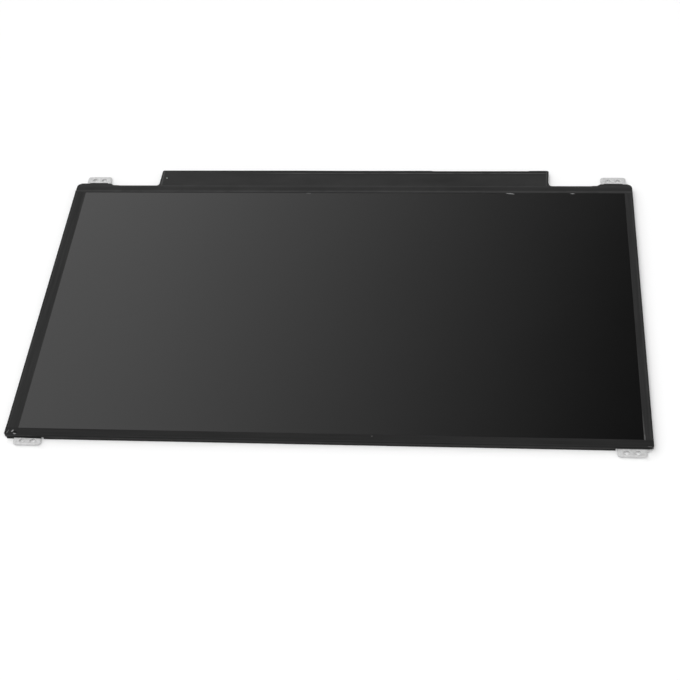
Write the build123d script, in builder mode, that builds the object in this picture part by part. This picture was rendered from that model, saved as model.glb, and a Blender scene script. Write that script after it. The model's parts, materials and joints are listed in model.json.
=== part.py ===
from build123d import *
import os

# A slim laptop screen panel, lying on its back: +Z out of the screen, +Y towards the driver-board flap.
# The origin is the middle of the whole outline, on the surface that the panel lies on. Millimetres.

# Screen
active_width = 293.8
active_depth = 165.2
opening_margin_x = 1.4
opening_margin_y = 1.3

# Black rim, from the opening to the outside of the body
rim_left = 6.2
rim_right = 4.35
rim_near = 4.45
rim_far = 7.85
near_corner = 1.2
far_corner = 2.8

# Shallow recess in the far edge, between the two far ears
recess_depth = 1.55
recess_left_land = 1.5
recess_right_land = 0.3
recess_round = 0.6

# Driver-board flap, measured over its cover film
flap_width = 216.0
flap_offset = 0.2
flap_reach = 11.5
flap_corner = 1.0
web_round = 2.4
film_overhang = 1.2

# Screw ears
ear_width = 13.5
ear_inset = 5.5
ear_round = 1.5
near_ear_reach = 4.35
far_ear_reach = 6.45
near_hole_reach = 2.0
far_hole_reach = 3.65
hole_pitch = 5.2
hole_diameter = 2.4
bracket_sheet = 0.5
root_depth = 2.4
arm_length = 12.0
lip_reach = 1.5
lip_end = 0.4

# Heat-staked pegs that hold each bracket
peg_diameter = 1.0
peg_hole_gap = 0.1
peg_edge = 1.4
peg_arm_end = 2.5

# Thickness of each layer, from the back to the front
chassis_sheet = 0.4
border_step = 0.1
reflector_thickness = 0.15
guide_thickness = 0.6
diffuser_thickness = 0.1
prism_thickness = 0.13
top_diffuser_thickness = 0.1
sheet_air = 0.05
gasket_thickness = 0.1
rear_polariser_thickness = 0.15
array_glass_thickness = 0.4
filter_glass_thickness = 0.4
front_polariser_thickness = 0.2
edge_tape = 0.07
cover_film_thickness = 0.08

# Chassis tray
wall_top = 1.45
outer_bend = 0.5
pan_margin = 0.4
pan_spread = 0.2
pan_corner = 3.0
tooling_hole = 4.0
tooling_pitch_x = 220.0
tooling_pitch_y = 110.0

# Snap lugs of the frame in windows of the chassis walls
lug_length = 7.0
lug_bottom = 0.8
lug_height = 0.35
lug_reach = 0.28
window_gap = 0.08
side_lug_pitch = 52.0
side_lug_count = 3
near_lug_pitch = 62.0
near_lug_count = 4

# Mould frame
fit_gap = 0.05
rim_wall = 1.2
far_rail = 1.1
glass_gap = 0.15
guide_gap = 0.25

# Light guide and the sheets over it
guide_border = 1.9
guide_far_border = 1.2
tab_width = 5.0
tab_reach = 1.0
tab_pitch = 96.0

# LED strip
led_pitch = 8.0
led_width = 3.8
led_depth = 0.8
led_gap = 0.05
led_window_width = 3.0
led_window_height = 0.36
led_window_depth = 0.12
flex_thickness = 0.12
flex_lap = 0.9
flex_margin = 1.4
flex_side_margin = 1.0
sheet_stop = 0.15
reflector_margin = 0.3
tail_inset = 48.6
tail_width = 13.0
tail_land = 2.6
tail_gap = 0.06

# Display cell
bonding_ledge = 3.1
polariser_margin = 0.8
polariser_setback = 0.63
rear_polariser_border = 1.7
gasket_sight = 0.7
glass_chamfer = 1.0

# Driver films, from the glass ledge down to the board, with a chip under each
driver_count = 4
driver_pitch = 52.0
driver_width = 34.0
driver_film = 0.08
glass_bond = 1.5
board_bond = 1.8
drop_run = 0.9
chip_width = 22.0
chip_depth = 0.9
chip_height = 0.3
chip_gap = 0.25
gate_gap = 0.8
gate_clearance = 0.1

# Cover film over the far rim
drape_gap = 0.1
drape_run = 0.9
ear_tab_width = 12.8
ear_tab_run = 0.65
ear_tab_land = 0.85
ear_tab_splay = 1.4

# Edge tape
flange_gap = 0.4
ear_window_gap = 0.8
ear_window_top = 0.1

# Control board
board_thickness = 0.7
board_gap = 0.1
board_corner = 0.8
sight_hole = 1.2
sight_hole_inset = 2.2
sight_hole_y = 7.2
board_notch_width = 6.0
board_notch_depth = 1.6
board_notch_inset = 11.0

# Chips and coils on the back of the board: the LED supply goes with its left end, the rest with its middle
timing_offset = -6.2
timing_size = 8.0
timing_height = 0.85
power_offset = 27.8
power_size = 5.0
power_height = 0.8
lamp_driver_inset = 64.6
lamp_driver_size = 4.0
lamp_driver_height = 0.8
chip_edge = 0.12
coil_size = 4.2
coil_height = 0.95
coil_corner = 0.9
coil_top_edge = 0.15
power_coil_offset = 37.8
lamp_coil_inset = 56.1
parts_line = 6.6

# Small capacitors and resistors, in rows along the board
capacitor_length = 1.6
capacitor_width = 0.8
capacitor_height = 0.7
capacitor_pitch = 3.4
capacitor_count = 11
capacitor_row_inset = 28.6
capacitor_near_line = 4.4
capacitor_row_gap = 4.4
resistor_length = 1.0
resistor_width = 0.5
resistor_height = 0.35
resistor_pitch = 2.6
resistor_count = 9
resistor_row_offset = 8.8
resistor_near_line = 4.2
resistor_row_gap = 4.6

# Video socket on the back of the board, its mouth towards the flap's far edge
socket_inset = 41.0
socket_end = 2.0
socket_depth = 3.8
socket_height = 0.9
socket_setback = 1.8
shell_sheet = 0.12
shell_foot = 0.8
socket_fit = 0.04
housing_back = 1.1
housing_end = 0.9
tongue_thickness = 0.26
tongue_setback = 0.5
contact_count = 30
contact_pitch = 0.5
contact_width = 0.22
contact_sheet = 0.08
contact_standoff = 0.22
contact_tail = 0.8
contact_setback = 0.5

# Plan of the body
opening_width = active_width + 2 * opening_margin_x
opening_depth = active_depth + 2 * opening_margin_y
body_width = rim_left + opening_width + rim_right
body_depth = rim_near + opening_depth + rim_far
total_depth = near_ear_reach + body_depth + flap_reach

left = -body_width / 2
right = body_width / 2
near = near_ear_reach - total_depth / 2
far = near + body_depth
flap_far = far + flap_reach
recess_y = far - recess_depth

opening_left = left + rim_left
opening_right = right - rim_right
opening_near = near + rim_near
opening_far = far - rim_far
screen_x = (opening_left + opening_right) / 2
flap_x = screen_x + flap_offset
flap_left = flap_x - flap_width / 2
flap_right = flap_x + flap_width / 2

active_left = opening_left + opening_margin_x
active_right = opening_right - opening_margin_x
active_near = opening_near + opening_margin_y
active_far = opening_far - opening_margin_y
active_middle_y = (active_near + active_far) / 2

ear_offset = opening_width / 2 - ear_inset
recess_left = screen_x - ear_offset + ear_width / 2 + recess_left_land
recess_right = screen_x + ear_offset - ear_width / 2 - recess_right_land

# Levels, from the surface that the panel lies on
border_top = border_step + chassis_sheet
reflector_top = chassis_sheet + reflector_thickness
guide_top = reflector_top + guide_thickness
diffuser_top = guide_top + diffuser_thickness
lower_prism_top = diffuser_top + prism_thickness
upper_prism_top = lower_prism_top + prism_thickness
sheets_top = upper_prism_top + top_diffuser_thickness
ledge_z = sheets_top + sheet_air
gasket_top = ledge_z + gasket_thickness
array_bottom = gasket_top + rear_polariser_thickness
array_top = array_bottom + array_glass_thickness
filter_top = array_top + filter_glass_thickness
front_z = filter_top + front_polariser_thickness
flex_top = guide_top + flex_thickness
board_bottom = flex_top
board_top = board_bottom + board_thickness
driver_top = array_top + driver_film
bracket_bottom = wall_top - bracket_sheet
rim_z = wall_top + fit_gap

# Edges of what lies inside the frame
ring_inset = edge_tape + chassis_sheet + fit_gap
glass_inset = edge_tape + rim_wall + glass_gap
glass_left = left + glass_inset
glass_right = right - glass_inset
glass_near = near + glass_inset
glass_far = recess_y - ring_inset - far_rail - glass_gap
filter_far = glass_far - bonding_ledge
polariser_far = filter_far - polariser_setback

led_count = int(active_width / led_pitch)
guide_left = active_left - guide_border
guide_right = active_right + guide_border
guide_near = active_near - guide_border
guide_far = active_far + guide_far_border
led_near = guide_far + led_gap
led_far = led_near + led_depth
flex_near = guide_far - flex_lap
flex_far = led_far + flex_margin
sheet_far = flex_near - sheet_stop
reflector_far = led_far + reflector_margin
pocket_far = flex_far + guide_gap
pan_left = guide_left - pan_margin
pan_right = guide_right + pan_margin
pan_near = guide_near - pan_margin
pan_far = reflector_far + pan_margin

# The far end, from the glass to the board
rail_outer = recess_y - ring_inset
chip_near = glass_far + chip_gap
chip_far = chip_near + chip_depth
drop_start = chip_far + chip_gap
drop_end = drop_start + drop_run
driver_end = drop_end + board_bond
board_near = rail_outer + board_gap
board_far = flap_far - film_overhang
board_left = flap_left + film_overhang
board_right = flap_right - film_overhang
board_cover_z = board_top + driver_film
tail_x = board_left + tail_inset
sight_hole_x = board_left + sight_hole_inset

# Underside of the cover film where it drapes from the screen down to the bonding ledge
drape = [
    (opening_far, front_z),
    (polariser_far + drape_gap, front_z),
    (filter_far + drape_gap, filter_top),
    (filter_far + drape_gap + drape_run, driver_top),
]


def span(x_from, x_to, y_from, y_to, mode=Mode.ADD):
    """Draws the oblong between two lines each way in the sketch that is open."""
    with Locations(((x_from + x_to) / 2, (y_from + y_to) / 2)):
        Rectangle(abs(x_to - x_from), abs(y_to - y_from), mode=mode)


def body_plan(inset):
    """The plan of the body, an inset inside its outline, with the recess in its far edge."""
    with BuildSketch() as plan:
        span(left + inset, right - inset, near + inset, far - inset)
        fillet(plan.vertices().group_by(Axis.Y)[0], near_corner - inset)
        fillet(plan.vertices().group_by(Axis.Y)[-1], far_corner - inset)
        span(recess_left - inset, recess_right + inset, recess_y - inset, far, mode=Mode.SUBTRACT)
        recess_corners = plan.vertices().filter_by_position(
            Axis.X, recess_left - inset - fit_gap, recess_right + inset + fit_gap
        )
        fillet(recess_corners, recess_round)
    return plan.sketch


def guide_plan(far_edge, gap=0.0):
    """The plan of the light guide or a sheet over it, with its two locating tabs on each side."""
    with BuildSketch() as plan:
        span(guide_left - gap, guide_right + gap, guide_near - gap, far_edge + gap)
        for tab_y in (active_middle_y - tab_pitch / 2, active_middle_y + tab_pitch / 2):
            span(
                guide_left - tab_reach - gap,
                guide_right + tab_reach + gap,
                tab_y - tab_width / 2 - gap,
                tab_y + tab_width / 2 + gap,
            )
    return plan.sketch


def strip(outline, lift):
    """The closed profile of a thin strip: the points of its underside, and the same points lifted."""
    upper = [(across, up + lift) for across, up in reversed(outline)]
    return outline + upper


def sheet(plan, bottom, thickness):
    """A flat sheet of a given plan, lying at a level."""
    with BuildPart() as flat:
        with BuildSketch(Plane.XY.offset(bottom)):
            add(plan)
        extrude(amount=thickness)
    return flat.part


def oblong(x_from, x_to, y_from, y_to):
    """The plan of a plain oblong sheet."""
    with BuildSketch() as plan:
        span(x_from, x_to, y_from, y_to)
    return plan.sketch


def save(part, name):
    """Labels a finished piece and writes it."""
    part.label = name
    export_step(part, f"parts/{name}.step")


def bracket_places(side, end):
    """The middle of a bracket's ear, and the two lines that meet at its corner of the body."""
    ear_x = screen_x + side * ear_offset
    corner_x = right - edge_tape if side > 0 else left + edge_tape
    corner_y = far - edge_tape if end > 0 else near + edge_tape
    return ear_x, corner_x, corner_y


def bracket_root(side, end, gap=0.0):
    """The plan of a bracket's root, an L in the corner of the body, with a gap all round it."""
    ear_x, corner_x, corner_y = bracket_places(side, end)
    inner_x = ear_x - side * (ear_width / 2 + gap)
    outer_x = corner_x + side * gap
    outer_y = corner_y + end * gap
    with BuildSketch() as plan:
        span(inner_x, outer_x, corner_y - end * (root_depth + gap), outer_y)
        span(corner_x - side * (root_depth + gap), outer_x, corner_y - end * (arm_length + gap), outer_y)
    return plan.sketch


def peg_places(side, end):
    """The two pegs of a bracket: one in line with its ear, one near the end of its arm."""
    ear_x, corner_x, corner_y = bracket_places(side, end)
    return [
        (ear_x, corner_y - end * peg_edge),
        (corner_x - side * peg_edge, corner_y - end * (arm_length - peg_arm_end)),
    ]


corners = {
    "near_left": (-1, -1),
    "near_right": (1, -1),
    "far_left": (-1, 1),
    "far_right": (1, 1),
}
side_lugs_y = [
    active_middle_y + (row - (side_lug_count - 1) / 2) * side_lug_pitch for row in range(side_lug_count)
]
near_lugs_x = [
    screen_x + (column - (near_lug_count - 1) / 2) * near_lug_pitch for column in range(near_lug_count)
]
driver_places = [
    flap_x + (column - (driver_count - 1) / 2) * driver_pitch for column in range(driver_count)
]
tail_left = tail_x - tail_width / 2
tail_right = tail_x + tail_width / 2


def snap_plan(outer, gap=0.0):
    """The plan of the snap lugs along the left, right and near walls, out to a line inside the outline."""
    half = lug_length / 2 + gap
    with BuildSketch() as plan:
        for lug_y in side_lugs_y:
            span(left + outer, left + ring_inset + fit_gap, lug_y - half, lug_y + half)
            span(right - ring_inset - fit_gap, right - outer, lug_y - half, lug_y + half)
        for lug_x in near_lugs_x:
            span(lug_x - half, lug_x + half, near + outer, near + ring_inset + fit_gap)
    return plan.sketch


os.makedirs("parts", exist_ok=True)

# Rear chassis: a stamped tray with a slightly raised border, snap windows and notches for the brackets
with BuildPart() as rear_chassis:
    with BuildSketch(Plane.XY.offset(border_step)):
        add(body_plan(edge_tape))
    extrude(amount=wall_top - border_step)
    fillet(rear_chassis.faces().sort_by(Axis.Z)[0].edges(), outer_bend)
    with BuildSketch(Plane.XY.offset(border_top)):
        add(body_plan(edge_tape + chassis_sheet))
    extrude(amount=wall_top, mode=Mode.SUBTRACT)
    with BuildSketch(Plane.XY.offset(border_top)) as pan:
        span(pan_left, pan_right, pan_near, pan_far)
        fillet(pan.vertices(), pan_corner)
    extrude(amount=-border_step, mode=Mode.SUBTRACT)
    with BuildSketch(Plane.XY.offset(border_step)):
        offset(pan.sketch, amount=pan_spread)
    extrude(amount=-border_step)
    with BuildSketch():
        with Locations((screen_x, active_middle_y)):
            with GridLocations(tooling_pitch_x, tooling_pitch_y, 2, 2):
                Circle(tooling_hole / 2)
    extrude(amount=chassis_sheet, mode=Mode.SUBTRACT)
    with BuildSketch(Plane.XY.offset(lug_bottom - window_gap)):
        add(snap_plan(0.0, window_gap))
    extrude(amount=lug_height + 2 * window_gap, mode=Mode.SUBTRACT)
    with BuildSketch(Plane.XY.offset(bracket_bottom)):
        for side, end in corners.values():
            add(bracket_root(side, end, fit_gap))
    extrude(amount=bracket_sheet, mode=Mode.SUBTRACT)
    with BuildSketch(Plane.XY.offset(board_bottom)):
        span(board_left - board_gap, board_right + board_gap, rail_outer, recess_y)
    extrude(amount=wall_top, mode=Mode.SUBTRACT)
    with BuildSketch(Plane.XY.offset(guide_top - tail_gap)):
        span(tail_left - tail_gap, tail_right + tail_gap, rail_outer, recess_y)
    extrude(amount=wall_top, mode=Mode.SUBTRACT)
save(rear_chassis.part, "rear_chassis")

# Mould frame: a ring inside the chassis walls, a rim over them round the glass, and a lower far rail
with BuildPart() as mould_frame:
    with BuildSketch(Plane.XY.offset(border_top)):
        add(body_plan(ring_inset))
    extrude(amount=ledge_z - border_top)
    with BuildSketch(Plane.XY.offset(rim_z)):
        add(body_plan(edge_tape))
    extrude(amount=front_z - rim_z)
    with BuildSketch(Plane.XY.offset(ledge_z)):
        span(glass_left - glass_gap, glass_right + glass_gap, glass_near - glass_gap, glass_far + glass_gap)
    extrude(amount=front_z - ledge_z, mode=Mode.SUBTRACT)
    with BuildSketch(Plane.XY.offset(border_top)):
        add(guide_plan(pocket_far - guide_gap, guide_gap))
    extrude(amount=ledge_z - border_top, mode=Mode.SUBTRACT)
    # The far end steps down under the cover film
    with BuildSketch(Plane.YZ.offset(left)):
        with BuildLine():
            Polyline(
                drape[1],
                (drape[2][0], drape[2][1] - fit_gap),
                (drape[3][0], driver_top - fit_gap),
                (far, driver_top - fit_gap),
                (far, front_z),
                close=True,
            )
        make_face()
    extrude(amount=body_width, mode=Mode.SUBTRACT)
    # Room for the board behind the far rail, and a gate for each driver film
    with BuildSketch(Plane.XY.offset(rim_z)):
        span(flap_left - web_round - fit_gap, flap_right + web_round + fit_gap, rail_outer, recess_y)
    extrude(amount=front_z, mode=Mode.SUBTRACT)
    with BuildSketch(Plane.XY.offset(array_top - chip_height - gate_clearance)):
        for driver_x in driver_places:
            half = driver_width / 2 + gate_gap
            span(driver_x - half, driver_x + half, glass_far, recess_y)
    extrude(amount=front_z, mode=Mode.SUBTRACT)
    with BuildSketch(Plane.XY.offset(guide_top - tail_gap)):
        span(tail_left - tail_gap, tail_right + tail_gap, pocket_far - guide_gap, recess_y)
    extrude(amount=flex_thickness + 2 * tail_gap, mode=Mode.SUBTRACT)
    with BuildSketch(Plane.XY.offset(lug_bottom)):
        add(snap_plan(ring_inset - fit_gap - lug_reach))
    extrude(amount=lug_height)
    # Pockets and pegs of the brackets
    with BuildSketch(Plane.XY.offset(bracket_bottom)):
        for side, end in corners.values():
            add(bracket_root(side, end, fit_gap))
    extrude(amount=rim_z - bracket_bottom, mode=Mode.SUBTRACT)
    with BuildSketch(Plane.XY.offset(bracket_bottom)):
        for side, end in corners.values():
            with Locations(*peg_places(side, end)):
                Circle(peg_diameter / 2)
    extrude(amount=rim_z - bracket_bottom)
save(mould_frame.part, "mould_frame")

# Mounting brackets: flat steel plates in the corners, each with an ear and its two screw holes
for corner, (side, end) in corners.items():
    ear_x, corner_x, corner_y = bracket_places(side, end)
    outer_round = far_corner if end > 0 else near_corner
    ear_tip = far + far_ear_reach if end > 0 else near - near_ear_reach
    hole_y = far + far_hole_reach if end > 0 else near - near_hole_reach
    with BuildPart() as bracket:
        with BuildSketch(Plane.XY.offset(bracket_bottom)) as plate:
            add(bracket_root(side, end))
            outer_corner = plate.vertices().sort_by_distance((corner_x, corner_y, bracket_bottom))[0]
            fillet(outer_corner, outer_round - edge_tape)
            span(ear_x - ear_width / 2, ear_x + ear_width / 2, corner_y, ear_tip)
            fillet(plate.vertices().sort_by(Axis.Y, reverse=end > 0)[:2], ear_round)
            if corner == "near_right":
                with BuildLine():
                    Polyline(
                        (ear_x + ear_width / 2, corner_y),
                        (ear_x + ear_width / 2, near - lip_reach),
                        (right - lip_end, near + edge_tape),
                        (corner_x, near + near_corner),
                        close=True,
                    )
                make_face()
            with Locations((ear_x - hole_pitch / 2, hole_y), (ear_x + hole_pitch / 2, hole_y)):
                Circle(hole_diameter / 2, mode=Mode.SUBTRACT)
            with Locations(*peg_places(side, end)):
                Circle((peg_diameter + peg_hole_gap) / 2, mode=Mode.SUBTRACT)
        extrude(amount=bracket_sheet)
    save(bracket.part, f"mounting_bracket_{corner}")

# Backlight: reflector, light guide and the sheets over it
with BuildPart() as reflector:
    with BuildSketch(Plane.XY.offset(chassis_sheet)) as reflector_plan:
        span(guide_left, guide_right, guide_near, reflector_far)
        fillet(reflector_plan.vertices(), pan_corner - pan_margin)
    extrude(amount=reflector_thickness)
save(reflector.part, "reflector_sheet")
save(sheet(guide_plan(guide_far), reflector_top, guide_thickness), "light_guide")
save(sheet(guide_plan(sheet_far), guide_top, diffuser_thickness), "diffuser_sheet")
save(sheet(guide_plan(sheet_far), diffuser_top, prism_thickness), "lower_prism_sheet")
save(sheet(guide_plan(sheet_far), lower_prism_top, prism_thickness), "upper_prism_sheet")
save(sheet(guide_plan(sheet_far), upper_prism_top, top_diffuser_thickness), "top_diffuser_sheet")

# LED strip: a flex over the guide's edge, with a tail that is soldered under the board
with BuildPart() as led_flex:
    with BuildSketch(Plane.XY.offset(guide_top)):
        span(active_left - flex_side_margin, active_right + flex_side_margin, flex_near, flex_far)
        span(tail_left, tail_right, flex_near, board_near + tail_land)
    extrude(amount=flex_thickness)
save(led_flex.part, "led_flex")

with BuildPart() as led_packages:
    with BuildSketch(Plane.XY.offset(reflector_top)):
        with Locations((screen_x, (led_near + led_far) / 2)):
            with GridLocations(led_pitch, led_depth, led_count, 1):
                Rectangle(led_width, led_depth)
    extrude(amount=guide_thickness)
    with BuildSketch(Plane.XZ.offset(-led_near)):
        with Locations((screen_x, reflector_top + guide_thickness / 2)):
            with GridLocations(led_pitch, led_depth, led_count, 1):
                Rectangle(led_window_width, led_window_height)
    extrude(amount=-led_window_depth, mode=Mode.SUBTRACT)
save(led_packages.part, "led_packages")

# Display cell
with BuildPart() as cell_gasket:
    with BuildSketch(Plane.XY.offset(ledge_z)):
        span(glass_left, glass_right, glass_near, glass_far)
        span(
            active_left - gasket_sight,
            active_right + gasket_sight,
            active_near - gasket_sight,
            active_far + gasket_sight,
            mode=Mode.SUBTRACT,
        )
    extrude(amount=gasket_thickness)
save(cell_gasket.part, "cell_gasket")

rear_polariser_plan = oblong(
    active_left - rear_polariser_border,
    active_right + rear_polariser_border,
    active_near - rear_polariser_border,
    active_far + rear_polariser_border,
)
save(sheet(rear_polariser_plan, gasket_top, rear_polariser_thickness), "rear_polariser")

with BuildPart() as array_glass:
    with BuildSketch(Plane.XY.offset(array_bottom)) as array_plan:
        span(glass_left, glass_right, glass_near, glass_far)
        chamfer(array_plan.vertices(), glass_chamfer)
    extrude(amount=array_glass_thickness)
save(array_glass.part, "array_glass")

with BuildPart() as filter_glass:
    with BuildSketch(Plane.XY.offset(array_top)) as filter_plan:
        span(glass_left, glass_right, glass_near, filter_far)
        chamfer(filter_plan.vertices().group_by(Axis.Y)[0], glass_chamfer)
    extrude(amount=filter_glass_thickness)
save(filter_glass.part, "colour_filter_glass")

front_polariser_plan = oblong(
    opening_left - polariser_margin,
    opening_right + polariser_margin,
    opening_near - polariser_margin,
    polariser_far,
)
save(sheet(front_polariser_plan, filter_top, front_polariser_thickness), "front_polariser")

# Driver films bonded to the glass ledge and to the board, and the chip under each
driver_line = [
    (glass_far - glass_bond, array_top),
    (drop_start, array_top),
    (drop_end, board_top),
    (driver_end, board_top),
]
for number, driver_x in enumerate(driver_places, start=1):
    with BuildPart() as driver:
        with BuildSketch(Plane.YZ.offset(driver_x - driver_width / 2)):
            with BuildLine():
                Polyline(*strip(driver_line, driver_film), close=True)
            make_face()
        extrude(amount=driver_width)
    save(driver.part, f"driver_film_{number}")
    with BuildPart() as chip:
        with BuildSketch(Plane.XY.offset(array_top)):
            span(driver_x - chip_width / 2, driver_x + chip_width / 2, chip_near, chip_far)
        extrude(amount=-chip_height)
    save(chip.part, f"driver_chip_{number}")

# Control board: a long strip seated on the chassis' far wall, with a sight hole and a notch
with BuildPart() as control_board:
    with BuildSketch(Plane.XY.offset(board_bottom)) as board_plan:
        span(board_left, board_right, board_near, board_far)
        fillet(board_plan.vertices().group_by(Axis.Y)[-1], board_corner)
        with Locations((sight_hole_x, board_near + sight_hole_y)):
            Circle(sight_hole / 2, mode=Mode.SUBTRACT)
        notch_x = board_right - board_notch_inset
        span(
            notch_x - board_notch_width / 2,
            notch_x + board_notch_width / 2,
            board_far - board_notch_depth,
            board_far,
            mode=Mode.SUBTRACT,
        )
    extrude(amount=board_thickness)
save(control_board.part, "control_board")


def board_chip(x_place, size, height):
    """A square chip on the back of the board, its lower edges slightly broken."""
    with BuildPart() as body:
        with BuildSketch(Plane.XY.offset(board_bottom)):
            with Locations((x_place, board_near + parts_line)):
                Rectangle(size, size)
        extrude(amount=-height)
        chamfer(body.faces().sort_by(Axis.Z)[0].edges(), chip_edge)
    return body.part


def board_coil(x_place):
    """A square shielded coil on the back of the board, with round corners."""
    with BuildPart() as coil:
        with BuildSketch(Plane.XY.offset(board_bottom)):
            with Locations((x_place, board_near + parts_line)):
                RectangleRounded(coil_size, coil_size, coil_corner)
        extrude(amount=-coil_height)
        chamfer(coil.faces().sort_by(Axis.Z)[0].edges(), coil_top_edge)
    return coil.part


def small_parts(row_x, near_line, row_gap, pitch, count, length, width, height):
    """Two rows of small two-ended parts on the back of the board, each its own solid."""
    with BuildPart() as group:
        with BuildSketch(Plane.XY.offset(board_bottom)):
            with Locations((row_x, board_near + near_line + row_gap / 2)):
                with GridLocations(pitch, row_gap, count, 2):
                    Rectangle(width, length)
        extrude(amount=-height)
    return group.part


save(board_chip(flap_x + timing_offset, timing_size, timing_height), "timing_controller")
save(board_chip(flap_x + power_offset, power_size, power_height), "power_chip")
save(board_chip(board_left + lamp_driver_inset, lamp_driver_size, lamp_driver_height), "led_driver_chip")
save(board_coil(flap_x + power_coil_offset), "power_coil")
save(board_coil(board_left + lamp_coil_inset), "led_driver_coil")
save(
    small_parts(
        board_left + capacitor_row_inset,
        capacitor_near_line,
        capacitor_row_gap,
        capacitor_pitch,
        capacitor_count,
        capacitor_length,
        capacitor_width,
        capacitor_height,
    ),
    "capacitors",
)
save(
    small_parts(
        flap_x + resistor_row_offset,
        resistor_near_line,
        resistor_row_gap,
        resistor_pitch,
        resistor_count,
        resistor_length,
        resistor_width,
        resistor_height,
    ),
    "resistors",
)

# Video socket: a bent shell on two feet, a housing with a tongue inside it, and a row of bent contacts
socket_x = board_right - socket_inset
socket_half = contact_count * contact_pitch / 2 + socket_end
socket_left = socket_x - socket_half
socket_right = socket_x + socket_half
socket_mouth = board_far - socket_setback
socket_back = socket_mouth - socket_depth
socket_low = board_bottom - socket_height
shell_inner_z = socket_low + shell_sheet
housing_left = socket_left + shell_sheet + socket_fit
housing_right = socket_right - shell_sheet - socket_fit
tongue_face = board_bottom - contact_standoff - contact_sheet

with BuildPart() as socket_shell:
    with BuildSketch(Plane.XZ.offset(-socket_mouth)):
        span(socket_left, socket_right, socket_low, board_bottom)
        span(
            socket_left + shell_sheet,
            socket_right - shell_sheet,
            shell_inner_z,
            board_bottom,
            mode=Mode.SUBTRACT,
        )
        span(socket_left - shell_foot, socket_left + shell_sheet, board_bottom - shell_sheet, board_bottom)
        span(socket_right - shell_sheet, socket_right + shell_foot, board_bottom - shell_sheet, board_bottom)
    extrude(amount=socket_depth)
save(socket_shell.part, "video_socket_shell")

with BuildPart() as socket_housing:
    with BuildSketch(Plane.XY.offset(tongue_face)):
        span(housing_left, housing_right, socket_back, socket_mouth - tongue_setback)
    extrude(amount=-tongue_thickness)
    with BuildSketch(Plane.XY.offset(shell_inner_z)):
        span(housing_left, housing_right, socket_back, socket_back + housing_back)
    extrude(amount=tongue_face - shell_inner_z)
    with BuildSketch(Plane.XY.offset(shell_inner_z)):
        span(housing_left, housing_left + housing_end, socket_back, socket_mouth - tongue_setback)
        span(housing_right - housing_end, housing_right, socket_back, socket_mouth - tongue_setback)
    extrude(amount=board_bottom - shell_inner_z)
save(socket_housing.part, "video_socket_housing")

with BuildPart() as socket_contacts:
    for pin in range(contact_count):
        pin_x = socket_x + (pin - (contact_count - 1) / 2) * contact_pitch
        with BuildSketch(Plane.YZ.offset(pin_x - contact_width / 2)):
            span(
                socket_back - contact_sheet,
                socket_mouth - tongue_setback - contact_setback,
                tongue_face,
                tongue_face + contact_sheet,
            )
            span(socket_back - contact_sheet, socket_back, tongue_face, board_bottom)
            span(socket_back - contact_tail, socket_back, board_bottom - contact_sheet, board_bottom)
        extrude(amount=contact_width)
save(socket_contacts.part, "video_socket_contacts")

# Board cover film: one die-cut film over the far rim and the flap, with a tab down to each far ear
with BuildPart() as cover_film:
    with BuildSketch(Plane.YZ.offset(left)):
        with BuildLine():
            Polyline(*strip(drape + [(far, driver_top)], cover_film_thickness), close=True)
        make_face()
    extrude(amount=flap_left - web_round - left)
    with BuildSketch(Plane.YZ.offset(right)):
        with BuildLine():
            Polyline(*strip(drape + [(far, driver_top)], cover_film_thickness), close=True)
        make_face()
    extrude(amount=flap_right + web_round - right)
    with BuildSketch(Plane.YZ.offset(flap_left - web_round)):
        with BuildLine():
            board_line = [(drop_start, driver_top), (drop_end, board_cover_z), (flap_far, board_cover_z)]
            Polyline(*strip(drape + board_line, cover_film_thickness), close=True)
        make_face()
    extrude(amount=flap_width + 2 * web_round)
    for side in (-1, 1):
        ear_x = screen_x + side * ear_offset
        with BuildSketch(Plane.YZ.offset(ear_x - ear_tab_width / 2)):
            with BuildLine():
                tab_line = [
                    (far, driver_top),
                    (far + ear_tab_run, wall_top),
                    (far + ear_tab_run + ear_tab_land, wall_top),
                ]
                Polyline(*strip(tab_line, cover_film_thickness), close=True)
            make_face()
        extrude(amount=ear_tab_width)
    with BuildSketch() as cut:
        span(left, right, opening_far, far)
        fillet(cut.vertices().group_by(Axis.Y)[-1], far_corner)
        span(recess_left, recess_right, recess_y, far, mode=Mode.SUBTRACT)
        span(flap_left, flap_right, opening_far, flap_far)
        flap_corners = cut.vertices().filter_by_position(Axis.Y, flap_far - fit_gap, flap_far + fit_gap)
        fillet(flap_corners, flap_corner)
        flap_roots = cut.vertices().filter_by_position(Axis.Y, recess_y - fit_gap, recess_y + fit_gap)
        fillet(
            flap_roots.filter_by_position(Axis.X, flap_left - fit_gap, flap_right + fit_gap), web_round
        )
        for side in (-1, 1):
            ear_x = screen_x + side * ear_offset
            tab_far = far + ear_tab_run + ear_tab_land
            with BuildLine():
                Polyline(
                    (ear_x - ear_tab_width / 2, far),
                    (ear_x - ear_tab_width / 2 + ear_tab_splay, tab_far),
                    (ear_x + ear_tab_width / 2 - ear_tab_splay, tab_far),
                    (ear_x + ear_tab_width / 2, far),
                    close=True,
                )
            make_face()
        with Locations((sight_hole_x, board_near + sight_hole_y)):
            Circle(sight_hole / 2, mode=Mode.SUBTRACT)
    extrude(amount=front_z + cover_film_thickness, mode=Mode.INTERSECT)
save(cover_film.part, "board_cover_film")

# Edge tape: three strips folded round the rim, from the screen's edge to the back of the chassis
tape_top = front_z + edge_tape
tape_bottom = border_step - edge_tape
near_flange = pan_near - pan_spread - flange_gap - near
left_flange = pan_left - pan_spread - flange_gap - left
right_flange = right - pan_right - pan_spread - flange_gap

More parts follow.
